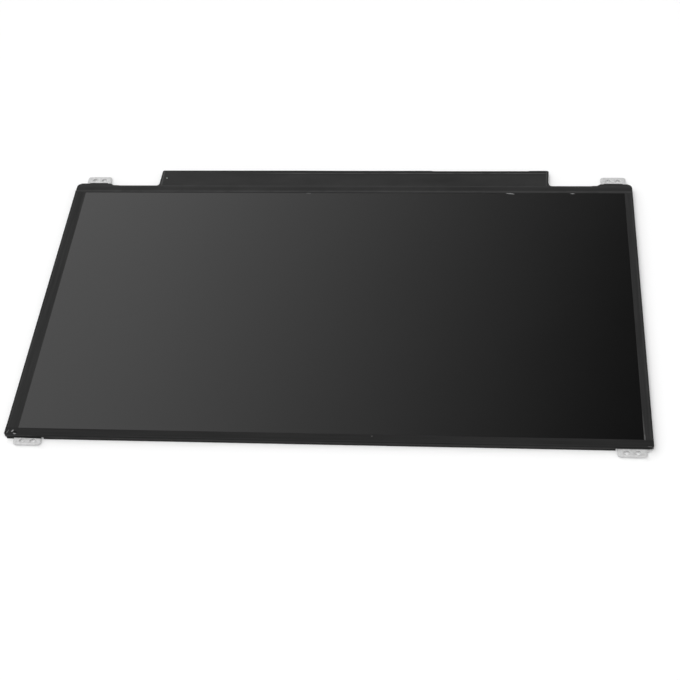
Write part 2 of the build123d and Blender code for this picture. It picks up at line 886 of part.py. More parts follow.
for name, outer, inner, back_flange, sign in (
    ("left", left, opening_left, left_flange, 1),
    ("right", right, opening_right, right_flange, -1),
):
    with BuildPart() as side_tape:
        with BuildSketch(Plane.XY.offset(front_z)):
            span(outer, inner, opening_near, opening_far)
        extrude(amount=edge_tape)
        with BuildSketch(Plane.XY.offset(tape_bottom)):
            span(outer, outer + sign * edge_tape, near + near_corner, far - far_corner)
        extrude(amount=tape_top - tape_bottom)
        with BuildSketch(Plane.XY.offset(tape_bottom)):
            span(outer, outer + sign * back_flange, near + near_flange, far - arm_length)
        extrude(amount=edge_tape)
        # The wall passes under the near strip at one end and under the cover film at the other
        with BuildSketch(Plane.YZ.offset(outer)):
            span(near, opening_near, front_z, tape_top)
            with BuildLine():
                Polyline(
                    *drape,
                    (far, driver_top),
                    (far, tape_top),
                    (opening_far, tape_top),
                    close=True,
                )
            make_face()
        extrude(amount=sign * edge_tape, mode=Mode.SUBTRACT)
    save(side_tape.part, f"rim_tape_{name}")

with BuildPart() as near_tape:
    with BuildSketch(Plane.XY.offset(front_z)) as front_flange:
        span(left, right, near, opening_near)
        fillet(front_flange.vertices().group_by(Axis.Y)[0], near_corner)
    extrude(amount=edge_tape)
    with BuildSketch(Plane.XY.offset(tape_bottom)):
        span(left + near_corner, right - near_corner, near, near + edge_tape)
    extrude(amount=tape_top - tape_bottom)
    with BuildSketch(Plane.XY.offset(tape_bottom)):
        span(left + near_corner, right - near_corner, near, near + near_flange)
    extrude(amount=edge_tape)
    # Windows for the two near ears: the right one is trimmed away as far as the corner
    with BuildSketch(Plane.XY.offset(tape_bottom)):
        left_ear = screen_x - ear_offset
        right_ear = screen_x + ear_offset
        half = ear_width / 2
        span(left_ear - half - fit_gap, left_ear + half + ear_window_gap, near, near + near_flange)
        span(right_ear - half - ear_window_gap, right, near, near + near_flange)
    extrude(amount=wall_top + ear_window_top - tape_bottom, mode=Mode.SUBTRACT)
save(near_tape.part, "rim_tape_near")
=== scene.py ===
import json
import math

import bmesh
import bpy
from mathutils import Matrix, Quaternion, Vector, noise


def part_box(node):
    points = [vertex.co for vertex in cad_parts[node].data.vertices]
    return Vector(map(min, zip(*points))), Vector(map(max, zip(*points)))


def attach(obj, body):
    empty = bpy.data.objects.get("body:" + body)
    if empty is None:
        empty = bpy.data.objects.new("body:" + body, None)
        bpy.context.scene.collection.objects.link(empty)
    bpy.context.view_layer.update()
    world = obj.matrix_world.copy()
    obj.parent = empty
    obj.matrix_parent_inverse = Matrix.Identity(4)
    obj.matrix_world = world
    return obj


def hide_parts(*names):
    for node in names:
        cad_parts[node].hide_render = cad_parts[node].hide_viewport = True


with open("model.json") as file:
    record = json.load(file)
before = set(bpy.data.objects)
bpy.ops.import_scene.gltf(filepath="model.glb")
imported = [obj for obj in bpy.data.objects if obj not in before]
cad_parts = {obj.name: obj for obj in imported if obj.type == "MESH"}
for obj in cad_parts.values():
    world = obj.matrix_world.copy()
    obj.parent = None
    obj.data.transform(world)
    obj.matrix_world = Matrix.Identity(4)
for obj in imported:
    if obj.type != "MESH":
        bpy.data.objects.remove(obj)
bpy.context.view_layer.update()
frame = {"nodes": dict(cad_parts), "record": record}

# All sizes and places below are in millimetres, unless a comment says otherwise
MM = 0.001
NODES = frame["nodes"]
LOW, HIGH = 0, 1
X, Y, Z = 0, 1, 2

# Places closer together than this are the same place
CLOSE = 0.01


def reach(node, end, axis):
    """Where a CAD node begins (LOW) or ends (HIGH) along an axis."""
    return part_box(node)[end][axis] / MM


# Viewed opening of the screen; SCREEN_MIDDLE is its middle at the level of the floor, in metres
OPENING_LEFT = reach("rim_tape_left", HIGH, X)
OPENING_RIGHT = reach("rim_tape_right", LOW, X)
OPENING_NEAR = reach("rim_tape_near", HIGH, Y)
OPENING_FAR = reach("board_cover_film", LOW, Y)
MIDDLE_X = (OPENING_LEFT + OPENING_RIGHT) / 2
MIDDLE_Y = (OPENING_NEAR + OPENING_FAR) / 2
SCREEN_MIDDLE = Vector((MIDDLE_X, MIDDLE_Y, 0.0)) * MM

# Camera: where the photograph was taken from and what it looks at, in metres, its tilt, and its lens
CAMERA_PLACE = SCREEN_MIDDLE + Vector((75.855, -501.015, 534.41)) * MM
CAMERA_AIM = SCREEN_MIDDLE + Vector((2.865, -24.505, 2.90)) * MM
CAMERA_ROLL = math.radians(-5.745)
CAMERA_LENS = 76.25

# Sky: a bright wall behind the panel, brightest low at the left, dark overhead, to the right and in front
SKY_LIFT_WEIGHT = 0.336
SKY_BRIGHT_AT = -0.03
SKY_DARK_AT = 0.388
SKY_CURVE = 1.32
SKY_BRIGHT = 1.52
SKY_FRONT_AT = -0.05
SKY_BACK_AT = 0.35

# Soft dome over the front of the room, up to a line behind the panel
SKY_DOME = 0.82
SKY_DOME_FULL = 0.1
SKY_DOME_END = 0.4

# One large soft lamp overhead and the floor, in metres and watts, and the floor's grey
LAMP_PLACE = Vector((0.0, -0.9, 2.3))
LAMP_SIZE = 2.4
LAMP_POWER = 22.0
FLOOR_SIZE = 8.0
FLOOR_GREY = 0.97

# Rim: its outer edges, the recess in its far edge, and its levels
TAPE_THICK = 0.07
RECESS_DEPTH = 1.55
FAR_CORNER = 2.8
LEFT = reach("rim_tape_left", LOW, X)
RIGHT = reach("rim_tape_right", HIGH, X)
NEAR = reach("rim_tape_near", LOW, Y)
FAR = reach("mould_frame", HIGH, Y) + TAPE_THICK
RECESS = FAR - RECESS_DEPTH
FRONT = reach("front_polariser", HIGH, Z)
TAPE_TOP = reach("rim_tape_near", HIGH, Z)
TAPE_BOTTOM = reach("rim_tape_near", LOW, Z)

# Screw ears: where their middles are, half their width, their level, and their broken edges
EAR_INSET = 5.5
EAR_HALF = 6.75
LEFT_EAR = OPENING_LEFT + EAR_INSET
RIGHT_EAR = OPENING_RIGHT - EAR_INSET
EAR_TOP = reach("mounting_bracket_near_left", HIGH, Z)
EAR_EDGE = 0.07
EAR_EDGE_ANGLE = 40.0

# Control board under the flap
BOARD_LEFT = reach("control_board", LOW, X)
BOARD_RIGHT = reach("control_board", HIGH, X)
BOARD_NEAR = reach("control_board", LOW, Y)
BOARD_FAR = reach("control_board", HIGH, Y)
BOARD_BACK = reach("control_board", LOW, Z)
BOARD_TOP = reach("control_board", HIGH, Z)

# Cover film: its flap, whose right end leans outwards
FILM_THICK = 0.08
FILM_FAR = reach("board_cover_film", HIGH, Y)
FLAP_OVERHANG_LEFT = 1.2
FLAP_OVERHANG_RIGHT = 0.75
FLAP_LEFT = BOARD_LEFT - FLAP_OVERHANG_LEFT
FLAP_RIGHT = BOARD_RIGHT + FLAP_OVERHANG_RIGHT
FLAP_CORNER = 1.0
FLAP_LEAN = 0.55
FLAP_LEAN_RUN = 8.0
FLAP_LEAN_END = 4.0

# The far edge of the flap isn't quite straight: how far it falls short, along the flap from its left end
FLAP_NICK = 152
FLAP_NICK_RUN = 2
FLAP_BOW = (
    (0, 0),
    (77, 0),
    (110, 0.2),
    (144, 0.12),
    (FLAP_NICK, 0.15),
    (FLAP_NICK + FLAP_NICK_RUN, 0.45),
    (178, 0.45),
    (195, 0.38),
    (211, 0.08),
)

# Cover film: the webs beside the flap, the recess's swell and shoulders at the ears, and the tabs on them
LEFT_WEB_WIDTH = 1.8
LEFT_WEB_DEPTH = 3.2
RIGHT_WEB_WIDTH = 2.4
RIGHT_WEB_DEPTH = 4.2
RECESS_SWELL = 0.5
RECESS_SWELL_RUN = 11.0
SHOULDER_START = 0.1
SHOULDER_RUN = 2.2
TAB_HALF = 6.4
TAB_SPLAY = 1.4
TAB_RUN = 0.65
TAB_LAND = 0.85
TAB_FOLD = FAR + TAB_RUN
TAB_FAR = TAB_FOLD + TAB_LAND

# Cover film: how it comes down from the screen over the glass and the rim to the board, or to an ear
DRIVER_FILM = 0.08
DRAPE_GAP = 0.1
DRAPE_RUN = 0.9
DROP_LEAD = 0.37
DROP_RUN = 0.9
CREASE_INSET = 1.15
CREASE_HALF = 0.5
CREASE_RISE = 0.05
FLAP_DIP = 0.1
SCREEN_END = reach("front_polariser", HIGH, Y) + DRAPE_GAP
SCREEN_LEVEL = FRONT + FILM_THICK
GLASS_END = reach("colour_filter_glass", HIGH, Y) + DRAPE_GAP
GLASS_LEVEL = reach("colour_filter_glass", HIGH, Z) + FILM_THICK
RIM_LEVEL = reach("driver_film_1", HIGH, Z) + FILM_THICK
FLAP_LEVEL = BOARD_TOP + DRIVER_FILM + FILM_THICK
TAB_LEVEL = EAR_TOP + FILM_THICK
DROP_START = RECESS - DROP_LEAD
DROP_END = DROP_START + DROP_RUN
CREASE = BOARD_FAR - CREASE_INSET
DRAPE_LINE = (
    (OPENING_FAR, SCREEN_LEVEL),
    (SCREEN_END, SCREEN_LEVEL),
    (GLASS_END, GLASS_LEVEL),
    (GLASS_END + DRAPE_RUN, RIM_LEVEL),
)
FLAP_LINE = DRAPE_LINE + (
    (DROP_START, RIM_LEVEL),
    (DROP_END, FLAP_LEVEL),
    (CREASE - CREASE_HALF, FLAP_LEVEL),
    (CREASE, FLAP_LEVEL + CREASE_RISE),
    (CREASE + CREASE_HALF, FLAP_LEVEL),
    (BOARD_FAR, FLAP_LEVEL),
    (FILM_FAR, FLAP_LEVEL - FLAP_DIP),
)
TAB_LINE = DRAPE_LINE + ((FAR, RIM_LEVEL), (TAB_FOLD, TAB_LEVEL), (TAB_FAR, TAB_LEVEL))

# Cover film: its slack over the board, held along the board's edges, and its droop past the board's ends
SLACK_FROM_DROP = 3.0
SLACK_FROM_FAR = 2.0
SLACK_FROM_ENDS = 6.0
SLACK_SINK = 0.02
WAVE_LENGTH = 17.0
WAVE_WIDTH = 7.0
WAVE_HEIGHT = 0.05
DROOP = 0.2

# Sight hole in the film, and half the square that it is made in
SIGHT_INSET = 2.2
SIGHT_LINE = 7.2
SIGHT_X = BOARD_LEFT + SIGHT_INSET
SIGHT_Y = BOARD_NEAR + SIGHT_LINE
SIGHT_RADIUS = 0.6
SIGHT_SQUARE = 1.1
SIGHT_CUTS = 3

# Painted light and shade on the film over the board, pale above 0 (painted highlight, with some wear) and
# painted shade below: folds at the board's ends, and the crease
RIGHT_FOLD_INSET = 0.3
BOARD_FOLDS = (BOARD_LEFT, BOARD_RIGHT - RIGHT_FOLD_INSET)
BOARD_FOLD_HALF = 0.45
BOARD_FOLD_HIGHLIGHT = 1.4
CREST_HIGHLIGHT = 1.5
CREST_SIDE = 0.4
CREST_FROM = 40.0
CREST_FADE = 45.0
PAST_CREST_SHADE = 0.35
BEFORE_CREST_SHADE = 0.2
BEFORE_CREST_FROM = 1.3

# Painted light and shade on the film over the rim: highlights on its fold over the glass and on the step
# down to the board, and painted shade in the hollow between
GLASS_FOLD = 1.2
GLASS_FOLD_HALF = 0.5
GLASS_FOLD_HIGHLIGHT = 0.75
STEP_HALF = 0.4
STEP_HIGHLIGHT = 0.4
RIM_SHADE = 0.14
RIM_SHADE_FROM = 1.9
RIM_SHADE_TO = 1.2

# Cuts in the flat film, so that it can bend: even columns, closer ones at corners, and rows from its folds
COLUMN_STEP = 4.0
CORNER_COLUMNS = (0.12, 0.4, 0.8, 1.3, 2.0, FAR_CORNER)
TAB_COLUMNS = (TAB_HALF - TAB_SPLAY, TAB_HALF - TAB_SPLAY / 2, TAB_HALF)
SHOULDER_COLUMNS = (0.05, 0.5, 1.0, 1.5, 2.3, 3.2, 5.0, 7.0)
WEB_COLUMNS = (0.0, 0.05, 0.2, 0.4, 0.7, 1.0, 1.4, 1.8, 2.1, 2.4)
FLAP_COLUMNS = (0.1, 0.3, 0.6, 0.95)
GLASS_ROWS = (0.5, GLASS_FOLD, 1.8, 2.4)
STEP_ROWS = (-1.8, -1.1, -0.5)
WEB_ROWS = (0.0, 0.1, 0.25, 0.8, 1.1, 1.9, 2.3, 2.8, 3.2, 3.7, 4.2)
CREASE_ROWS = (-1.7, -1.2, -0.25, 0.25)
EDGE_ROW = 0.8

# Edge tape: its rounded folds, and the cuts that let it carry its painted highlights and shade
FOLD_ROUND = 0.2
FOLD_STEPS = 3
FOLD_SHORTEST = 0.5
SIDE_STEP = 4.0
SIDE_OUTER_CUTS = (0.35, 0.7, 1.1, 1.5)
SIDE_INNER_CUTS = (0.7, 0.45, 0.2)
NEAR_STEP = 12.0
NEAR_LEFT_CUT = 6.0
NEAR_RIGHT_CUTS = (6.0, 4.5, 3.0)
NEAR_INNER_CUT = 0.5
NEAR_DEPTH_CUTS = (0.45, 0.8, 1.3, 1.9)

# Painted highlights on the side tapes: along the fold, and a painted glint along the inner edge, most
# towards the near right corner
SIDE_FOLD = 1.1
SIDE_FOLD_HALF = 0.4
SIDE_FOLD_HIGHLIGHT = 0.6
INNER_EDGE = 0.45
INNER_EDGE_FADE = 0.25
INNER_EDGE_GLINT = 0.1
CORNER_GLINT = 3.0
CORNER_RUN = 20.0
SIDE_HIGHLIGHT_DEPTH = 0.3

# Painted light and shade on the near tape: pale lines of painted highlight on top and side, painted shade
# beside them, and how the left end differs
LEFT_END = 24.0
LEFT_END_FADE = 10.0
TOP_LINE = 0.35
TOP_LINE_HALF = 0.55
TOP_LINE_HIGHLIGHT = 0.3
TOP_SKIN = 0.1
SIDE_LINE = 1.2
SIDE_LINE_RISE = 0.75
SIDE_LINE_HALF = 0.6
SIDE_LINE_LIGHT = 0.8
SIDE_LINE_LEFT_LIGHT = 0.4
SIDE_SKIN = 0.19
FOLD_SHADE = 0.25
FOLD_SHADE_DEPTH = 0.5
FOLD_SHADE_SKIN = 0.21
LEFT_SHADE = 0.3
LEFT_SHADE_FROM = 0.9
LEFT_SHADE_TO = 1.6

# Short lap of the near tape on the near left ear, with a slanting, torn edge
LAP_HALF = 6.7
LAP_REACH = 0.6
LAP_RISE = 0.5
LAP_LIFT = 0.09
LAP_LEVEL = EAR_TOP + LAP_LIFT
LAP_STEP = 0.9
LAP_SLANT = 0.3
LAP_TEAR = 0.12
LAP_TEAR_RATE = 0.9
LAP_TEAR_SEED = 3.0
LAP_SETBACK = 0.02
LAP_FOLD = 0.12
LAP_FOLD_STEPS = 2
LAP_THICK = 0.06

# Marks: chips, rubs, painted glints and highlights, and a painted slit shadow; name, place from the screen's
# middle with level, length and width, turn in degrees, kind
MARK_SUNK = 0.03
CHIP_SUNK = 0.034
ON_TAPE = TAPE_TOP - MARK_SUNK
IN_TAPE = TAPE_TOP - CHIP_SUNK
MARKS = (
    # Flat pale flakes: painted glints where the far edge has lifted and catches light
    ("lifted_edge_glint_left", (-22.9, 83.5, FRONT), (3.0, 0.55), 0.0, "faint"),
    ("lifted_edge_glint_middle", (87.2, 83.6, FRONT), (4.9, 0.7), -8.0, "pale"),
    ("lifted_edge_glint_right", (120.6, 83.65, FRONT), (2.7, 0.5), 0.0, "pale"),
    ("corner_chip_upper", (-150.72, -85.85, IN_TAPE), (1.9, 0.85), 57.0, "pale"),
    ("corner_chip_lower", (-149.32, -87.47, IN_TAPE), (1.9, 0.85), -4.0, "pale"),
    # A flat black flake: the painted shadow inside a slit in the tape
    ("corner_slit_shadow", (-149.2, -86.5, ON_TAPE), (2.3, 1.05), -28.0, "dark"),
    # A pale line of painted highlight along the near left corner's fold
    ("corner_fold_highlight", (-153.0, -86.45, ON_TAPE), (3.0, 0.65), 73.0, "faint"),
    ("corner_rub", (150.8, -87.9, ON_TAPE), (2.4, 0.5), 0.0, "faint"),
    # A painted glint along the right rim's inner edge
    ("rim_inner_edge_glint", (148.78, -82.2, ON_TAPE), (4.2, 0.5), 90.0, "faint"),
    ("rim_speck", (22.6, -84.95, ON_TAPE), (0.9, 0.8), 20.0, "faint"),
)
MARK_SIDES = 12
MARK_THICK = 0.04
MARK_TOP_SHARE = 0.8
MARK_RAGGED = 0.5
MARK_RAGGED_RATE = 3.0

# Tinned ends of the small parts on the back of the board
CAP_SKIN = 0.02
CAP_ROUND = 0.06

# Solder joints in rows along the chips' sides
JOINT_ROW_SHARE = 0.84
JOINT_HALF = 0.13
JOINT_UNDER = 0.06
JOINT_REACH = 0.32
JOINT_HEIGHT = 0.22
JOINT_ROUND = 0.17
JOINT_PROFILE = 0.2

# Round cores set in the coils
CORE_SIDES = 40
CORE_RADIUS = 1.6
CORE_SUNK = 0.02
CORE_PROUD = 0.06
CORE_RIM = 0.25
CORE_GROOVE_SIDE = 0.12
CORE_GROOVE_DEPTH = 0.05

# Round pads: a row of test pads, the solder on the LED strip's tail, and the pad in the sight hole
PAD_SIDES = 20
PAD_DOME_SHARE = 0.5
PAD_DOME_DEPTH_SHARE = 0.9
TEST_PADS_INSET = 74.0
TEST_PADS_LINE = 9.6
TAIL_INSET = 48.6
TAIL_LINE = 1.4
TAIL_THICK = 0.12
TAIL_JOINTS = 6
TAIL_PITCH = 1.8

# Piece meshes: how a copied CAD mesh is joined up, and how sharp an edge has to be to stay sharp, in degrees
MERGE = 0.001
FLAT_ANGLE = 1.0
SMOOTH_ANGLE = 30.0

# Most of a noise value lies between these
NOISE_LOW = 0.3
NOISE_HIGH = 0.7

# Stretches of a noise: even, or drawn out into streaks along an axis
EVEN = (1, 1, 1)
STREAKS_X = (0.03, 1, 1)
STREAKS_Y = (1, 0.03, 1)

# Sockets of a mix node that take and give colours
MIX_SHARE = 0
MIX_FIRST = 6
MIX_SECOND = 7
MIX_RESULT = 2

# Attribute that says, point by point, where a piece is paled (above 0: wear and painted highlight) and
# darkened (below 0: painted shade)
WEAR_AND_PAINTED_LIGHT = "wear"

# Specular level of matt black tape and film
MATT_GLOSS = 0.05


def rgb(red, green, blue):
    """An opaque colour."""
    return (red, green, blue, 1.0)


def grey(level, blue=0.0):
    """A neutral colour, slightly blue if asked."""
    return rgb(level, level, level + blue)


BLACK = grey(0.0)
WHITE = grey(1.0)


def connect(tree, node, values):
    """Sets the input sockets of a node, or links them where the value is another node's output."""
    for socket, value in values.items():
        if isinstance(value, bpy.types.NodeSocket):
            tree.links.new(value, node.inputs[socket])
        else:
            node.inputs[socket].default_value = value


def add_node(tree, kind, values=None, **settings):
    """A new node with its settings and its input sockets."""
    node = tree.nodes.new(kind)
    for setting, value in settings.items():
        setattr(node, setting, value)
    connect(tree, node, values or {})
    return node


class Finish:
    """A material with one principled shader, and short ways to add the nodes that drive it."""

    def __init__(self, name):
        self.material = bpy.data.materials.new(name)
        self.material.use_nodes = True
        self.tree = self.material.node_tree
        self.place = self.node("ShaderNodeTexCoord").outputs["Object"]

    def node(self, kind, values=None, **settings):
        """A new node of this material."""
        return add_node(self.tree, kind, values, **settings)

    def set(self, socket, value):
        """Gives a socket of the shader one value all over, or a node's output."""
        connect(self.tree, self.tree.nodes["Principled BSDF"], {socket: value})

    def noise(self, size, stretch=EVEN, detail=3.0, rough=0.5):
        """Cloudy noise with features of about a size, drawn out along an axis where its stretch is small."""
        scaled = self.node("ShaderNodeMapping", {"Vector": self.place, "Scale": stretch})
        return self.node(
            "ShaderNodeTexNoise",
            {
                "Vector": scaled.outputs["Vector"],
                "Scale": 1 / (size * MM),
                "Detail": detail,
                "Roughness": rough,
            },
        ).outputs["Fac"]

    def spread(self, value, low, high, start=NOISE_LOW, end=NOISE_HIGH):
        """Spreads a value between a start and an end over a range of numbers."""
        return self.node(
            "ShaderNodeMapRange",
            {"Value": value, "From Min": start, "From Max": end, "To Min": low, "To Max": high},
        ).outputs["Result"]

    def shade(self, value, dark, light, start=NOISE_LOW, end=NOISE_HIGH):
        """Turns a value between a start and an end into a colour between two colours."""
        ramp = self.node("ShaderNodeValToRGB", {"Fac": value})
        for stop, place, colour in zip(ramp.color_ramp.elements, (start, end), (dark, light)):
            stop.position = place
            stop.color = colour
        return ramp.outputs["Color"]

    def bump(self, value, height, strength):
        """Raises the surface by up to a height where the value is high."""
        sockets = {"Height": value, "Strength": strength, "Distance": height * MM}
        self.set("Normal", self.node("ShaderNodeBump", sockets).outputs["Normal"])

    def mix(self, share, first, second):
        """Mixes two colours by a share from 0 to 1."""
        sockets = {MIX_SHARE: share, MIX_FIRST: first, MIX_SECOND: second}
        return self.node("ShaderNodeMix", sockets, data_type="RGBA").outputs[MIX_RESULT]

    def paint_wear_light_and_shade(self, colour, pale):
        """Pales a colour in patches where the piece's wear attribute is above 0, for wear and painted
        highlight, and darkens it where it is below, for painted shade.
        """
        wear = self.node("ShaderNodeAttribute", attribute_name=WEAR_AND_PAINTED_LIGHT).outputs["Fac"]
        patches = self.spread(self.noise(6.0, detail=4.0), low=0.25, high=1.0)
        share = self.node("ShaderNodeMath", {0: wear, 1: patches}, operation="MULTIPLY").outputs["Value"]
        shaded = self.mix(self.spread(wear, low=0.0, high=1.0, start=-1.0, end=0.0), BLACK, colour)
        return self.mix(share, shaded, pale)


def screen_finish():
    """Anti-glare polariser: nearly black, satin, with a very fine grain."""
    film = Finish("screen_film")
    film.set("Base Color", grey(0.0015))
    film.set("IOR", 1.5)
    film.set("Roughness", film.spread(film.noise(60.0, detail=2.0), low=0.19, high=0.21))
    film.bump(film.noise(0.08, detail=1.0), height=0.0006, strength=0.3)
    return film.material


def tape_finish(name, stretch, dark, light):
    """Black edge tape: matt, with faint streaks along its length, paler where highlights are painted along
    its folds and edges, darker where shade is painted.
    """
    tape = Finish(name)
    streaks = tape.noise(1.2, stretch, detail=4.0, rough=0.6)
    tape.set("Base Color", tape.paint_wear_light_and_shade(tape.shade(streaks, grey(dark), grey(light)), pale=grey(0.055)))
    tape.set("Specular IOR Level", MATT_GLOSS)
    tape.set("Roughness", tape.spread(tape.noise(0.7), low=0.55, high=0.7))
    tape.bump(tape.noise(0.6, detail=4.0), height=0.01, strength=0.5)
    return tape.material


def cover_finish():
    """Black cover film: satin, with soft handling marks, paler along its creases with painted highlight and
    some wear, darker beside them with painted shade.
    """
    film = Finish("cover_film")
    marks = film.noise(14.0, stretch=(0.35, 1, 1), detail=4.0)
    film.set("Base Color", film.paint_wear_light_and_shade(film.shade(marks, grey(0.0225), grey(0.0325)), pale=grey(0.07)))
    film.set("Specular IOR Level", MATT_GLOSS)
    film.set("Roughness", film.spread(film.noise(5.0), low=0.48, high=0.62))
    film.bump(film.noise(3.0, detail=2.0), height=0.03, strength=0.4)
    return film.material


def mark_finish(name, dark, light):
    """A small mark: a chip, a rub, a painted glint where an edge catches light, a painted highlight on a
    fold, or a painted shadow in a slit.
    """
    mark = Finish(name)
    mark.set("Base Color", mark.shade(mark.noise(0.4), grey(dark), grey(light)))
    mark.set("Specular IOR Level", MATT_GLOSS)
    mark.set("Roughness", mark.spread(mark.noise(0.2), low=0.5, high=0.7))
    return mark.material


def frame_finish():
    """Black moulded plastic with a fine sparked grain."""
    plastic = Finish("frame_plastic")
    plastic.set("Base Color", grey(0.018))
    plastic.set("Roughness", plastic.spread(plastic.noise(0.4), low=0.42, high=0.6))
    plastic.bump(plastic.noise(0.2), height=0.01, strength=0.4)
    return plastic.material


def tray_finish():
    """Rolled sheet of the rear tray: long faint rolling lines, a few cloudy stains."""
    sheet = Finish("tray_metal")
    lines = sheet.noise(0.6, stretch=(0.02, 1, 1), detail=4.0)
    sheet.set("Base Color", sheet.shade(sheet.noise(30.0), rgb(0.6, 0.605, 0.61), rgb(0.7, 0.705, 0.71)))
    sheet.set("Metallic", 1.0)
    sheet.set("Roughness", sheet.spread(lines, low=0.3, high=0.44))
    sheet.bump(lines, height=0.004, strength=0.4)
    return sheet.material


def bracket_finish():
    """Zinc-plated steel of the ears: pale, dull and a little blotchy."""
    steel = Finish("bracket_steel")
    steel.set("Base Color", steel.shade(steel.noise(1.2), grey(0.5), grey(0.66)))
    steel.set("Metallic", 0.2)
    steel.set("Roughness", steel.spread(steel.noise(0.6), low=0.55, high=0.7))
    steel.bump(steel.noise(0.4), height=0.01, strength=0.4)
    return steel.material


def glass_finish():
    """Display glass, faintly green."""
    glass = Finish("cell_glass")
    glass.set("Base Color", rgb(0.80, 0.87, 0.85))
    glass.set("IOR", 1.52)
    glass.set("Transmission Weight", 0.8)
    glass.set("Roughness", glass.spread(glass.noise(2.0), low=0.03, high=0.09))
    return glass.material


def sheet_finish(name, colour, roughness):
    """A plain optical sheet with a fine grain."""
    sheet = Finish(name)
    sheet.set("Base Color", colour)
    sheet.set("Roughness", sheet.spread(sheet.noise(0.5), low=roughness - 0.06, high=roughness + 0.06))
    sheet.bump(sheet.noise(0.3), height=0.004, strength=0.3)
    return sheet.material


def flex_finish(name, dark, light):
    """Flex circuit: a film over fine copper lines that run across the board."""
    flex = Finish(name)
    lines = flex.noise(0.4, STREAKS_Y, detail=1.0)
    flex.set("Base Color", flex.shade(lines, dark, light, start=0.45, end=0.55))
    flex.set("Roughness", 0.35)
    flex.bump(lines, height=0.01, strength=0.4)
    return flex.material


def board_finish():
    """Green solder mask over copper: paler where the copper planes lie."""
    mask = Finish("board_mask")
    copper = mask.noise(6.0, stretch=(0.5, 1, 1), detail=1.0)
    bare, over_copper = rgb(0.003, 0.045, 0.02), rgb(0.01, 0.1, 0.045)
    mask.set("Base Color", mask.shade(copper, bare, over_copper, start=0.46, end=0.54))
    mask.set("Roughness", 0.3)
    mask.set("Coat Weight", 0.3)
    mask.bump(copper, height=0.02, strength=0.4)
    return mask.material


def moulded_finish(name, dark, light, roughness):
    """Moulded or fired surface of a small part: slightly mottled and grained."""
    moulded = Finish(name)
    moulded.set("Base Color", moulded.shade(moulded.noise(0.5), dark, light))
    moulded.set("Roughness", moulded.spread(moulded.noise(0.3), low=roughness - 0.08, high=roughness + 0.08))
    moulded.bump(moulded.noise(0.2), height=0.008, strength=0.4)
    return moulded.material


def plated_finish(name, dark, light, roughness):
    """Plated metal of contacts, shells and pads."""
    plated = Finish(name)
    plated.set("Base Color", plated.shade(plated.noise(0.6), dark, light))
    plated.set("Metallic", 1.0)
    plated.set("Roughness", plated.spread(plated.noise(0.3), low=roughness - 0.06, high=roughness + 0.08))
    return plated.material


# One finish for each material slot of the record
FINISHES = {
    "screen": screen_finish(),
    "edge_tape": tape_finish("edge_tape", EVEN, dark=0.0155, light=0.022),
    "cover_film": cover_finish(),
    "frame_plastic": frame_finish(),
    "tray_metal": tray_finish(),
    "bracket_steel": bracket_finish(),
    "glass": glass_finish(),
    "clear_acrylic": sheet_finish("clear_acrylic", rgb(0.84, 0.88, 0.88), roughness=0.15),
    "white_sheet": sheet_finish("white_sheet", grey(0.9), roughness=0.5),
    "frosted_sheet": sheet_finish("frosted_sheet", rgb(0.76, 0.78, 0.8), roughness=0.45),
    "dark_film": sheet_finish("rear_polariser_film", grey(0.05, blue=0.005), roughness=0.2),
    "amber_flex": flex_finish("amber_flex", rgb(0.30, 0.12, 0.02), rgb(0.46, 0.22, 0.05)),
    "white_flex": flex_finish("white_flex", grey(0.7), grey(0.82)),
    "led": moulded_finish("led_body", rgb(0.75, 0.68, 0.36), rgb(0.86, 0.82, 0.6), roughness=0.35),
    "board": board_finish(),
    "chip": moulded_finish("chip_moulding", grey(0.018), grey(0.03), roughness=0.5),
    "silicon": moulded_finish("bare_silicon", grey(0.07, blue=0.01), grey(0.11, blue=0.015), roughness=0.2),
    "ferrite": moulded_finish("ferrite", grey(0.05), grey(0.085), roughness=0.6),
    "capacitor": moulded_finish(
        "capacitor_ceramic", rgb(0.27, 0.17, 0.09), rgb(0.38, 0.26, 0.15), roughness=0.45
    ),
    "resistor": moulded_finish("resistor_glaze", grey(0.02), grey(0.04), roughness=0.35),
    "socket_plastic": moulded_finish(
        "socket_moulding", rgb(0.6, 0.56, 0.46), rgb(0.7, 0.66, 0.56), roughness=0.5
    ),
    "socket_metal": plated_finish("socket_tin", grey(0.6), grey(0.72), roughness=0.3),
    "gold": plated_finish("contact_gold", rgb(0.72, 0.5, 0.16), rgb(0.86, 0.64, 0.28), roughness=0.25),
}
# Painted light: the side strips get a lighter copy of the same black tape than the near strip
SIDE_TAPE_PAINTED_LIGHTER = tape_finish("side_tape_painted_lighter", STREAKS_Y, dark=0.0185, light=0.0295)
NEAR_TAPE = tape_finish("near_tape", STREAKS_X, dark=0.0149, light=0.0236)
MARK_FINISHES = {
    # Pale and faint flecks serve chips and rubs as well as painted glints and highlights
    "pale": mark_finish("pale_fleck_and_glint", dark=0.18, light=0.3),
    "faint": mark_finish("faint_fleck_and_glint", dark=0.07, light=0.12),
    # Painted shadow of a slit
    "dark": mark_finish("slit_painted_shadow", dark=0.002, light=0.004),
}


def dress_nodes():
    """Gives every CAD node the finish of its material slot."""
    slots = {part["node"]: part["material_slot"] for part in frame["record"]["subparts"]}
    for name, node in NODES.items():
        node.data.materials.clear()
        node.data.materials.append(FINISHES[slots[name]])


def along(line, place):
    """The height of a line of points at a place, level beyond its ends."""
    if place <= line[0][0]:
        return line[0][1]
    for (start, low), (end, high) in zip(line, line[1:]):
        if place <= end:
            return low + (high - low) * (place - start) / (end - start)
    return line[-1][1]


def ease(share):
    """A smooth step from 0 to 1."""
    share = min(max(share, 0.0), 1.0)
    return share * share * (3 - 2 * share)


def peak(distance, half_width):
    """1 on a line, falling evenly to 0 at half its width to each side."""
    return 1.0 - min(1.0, abs(distance) / half_width)


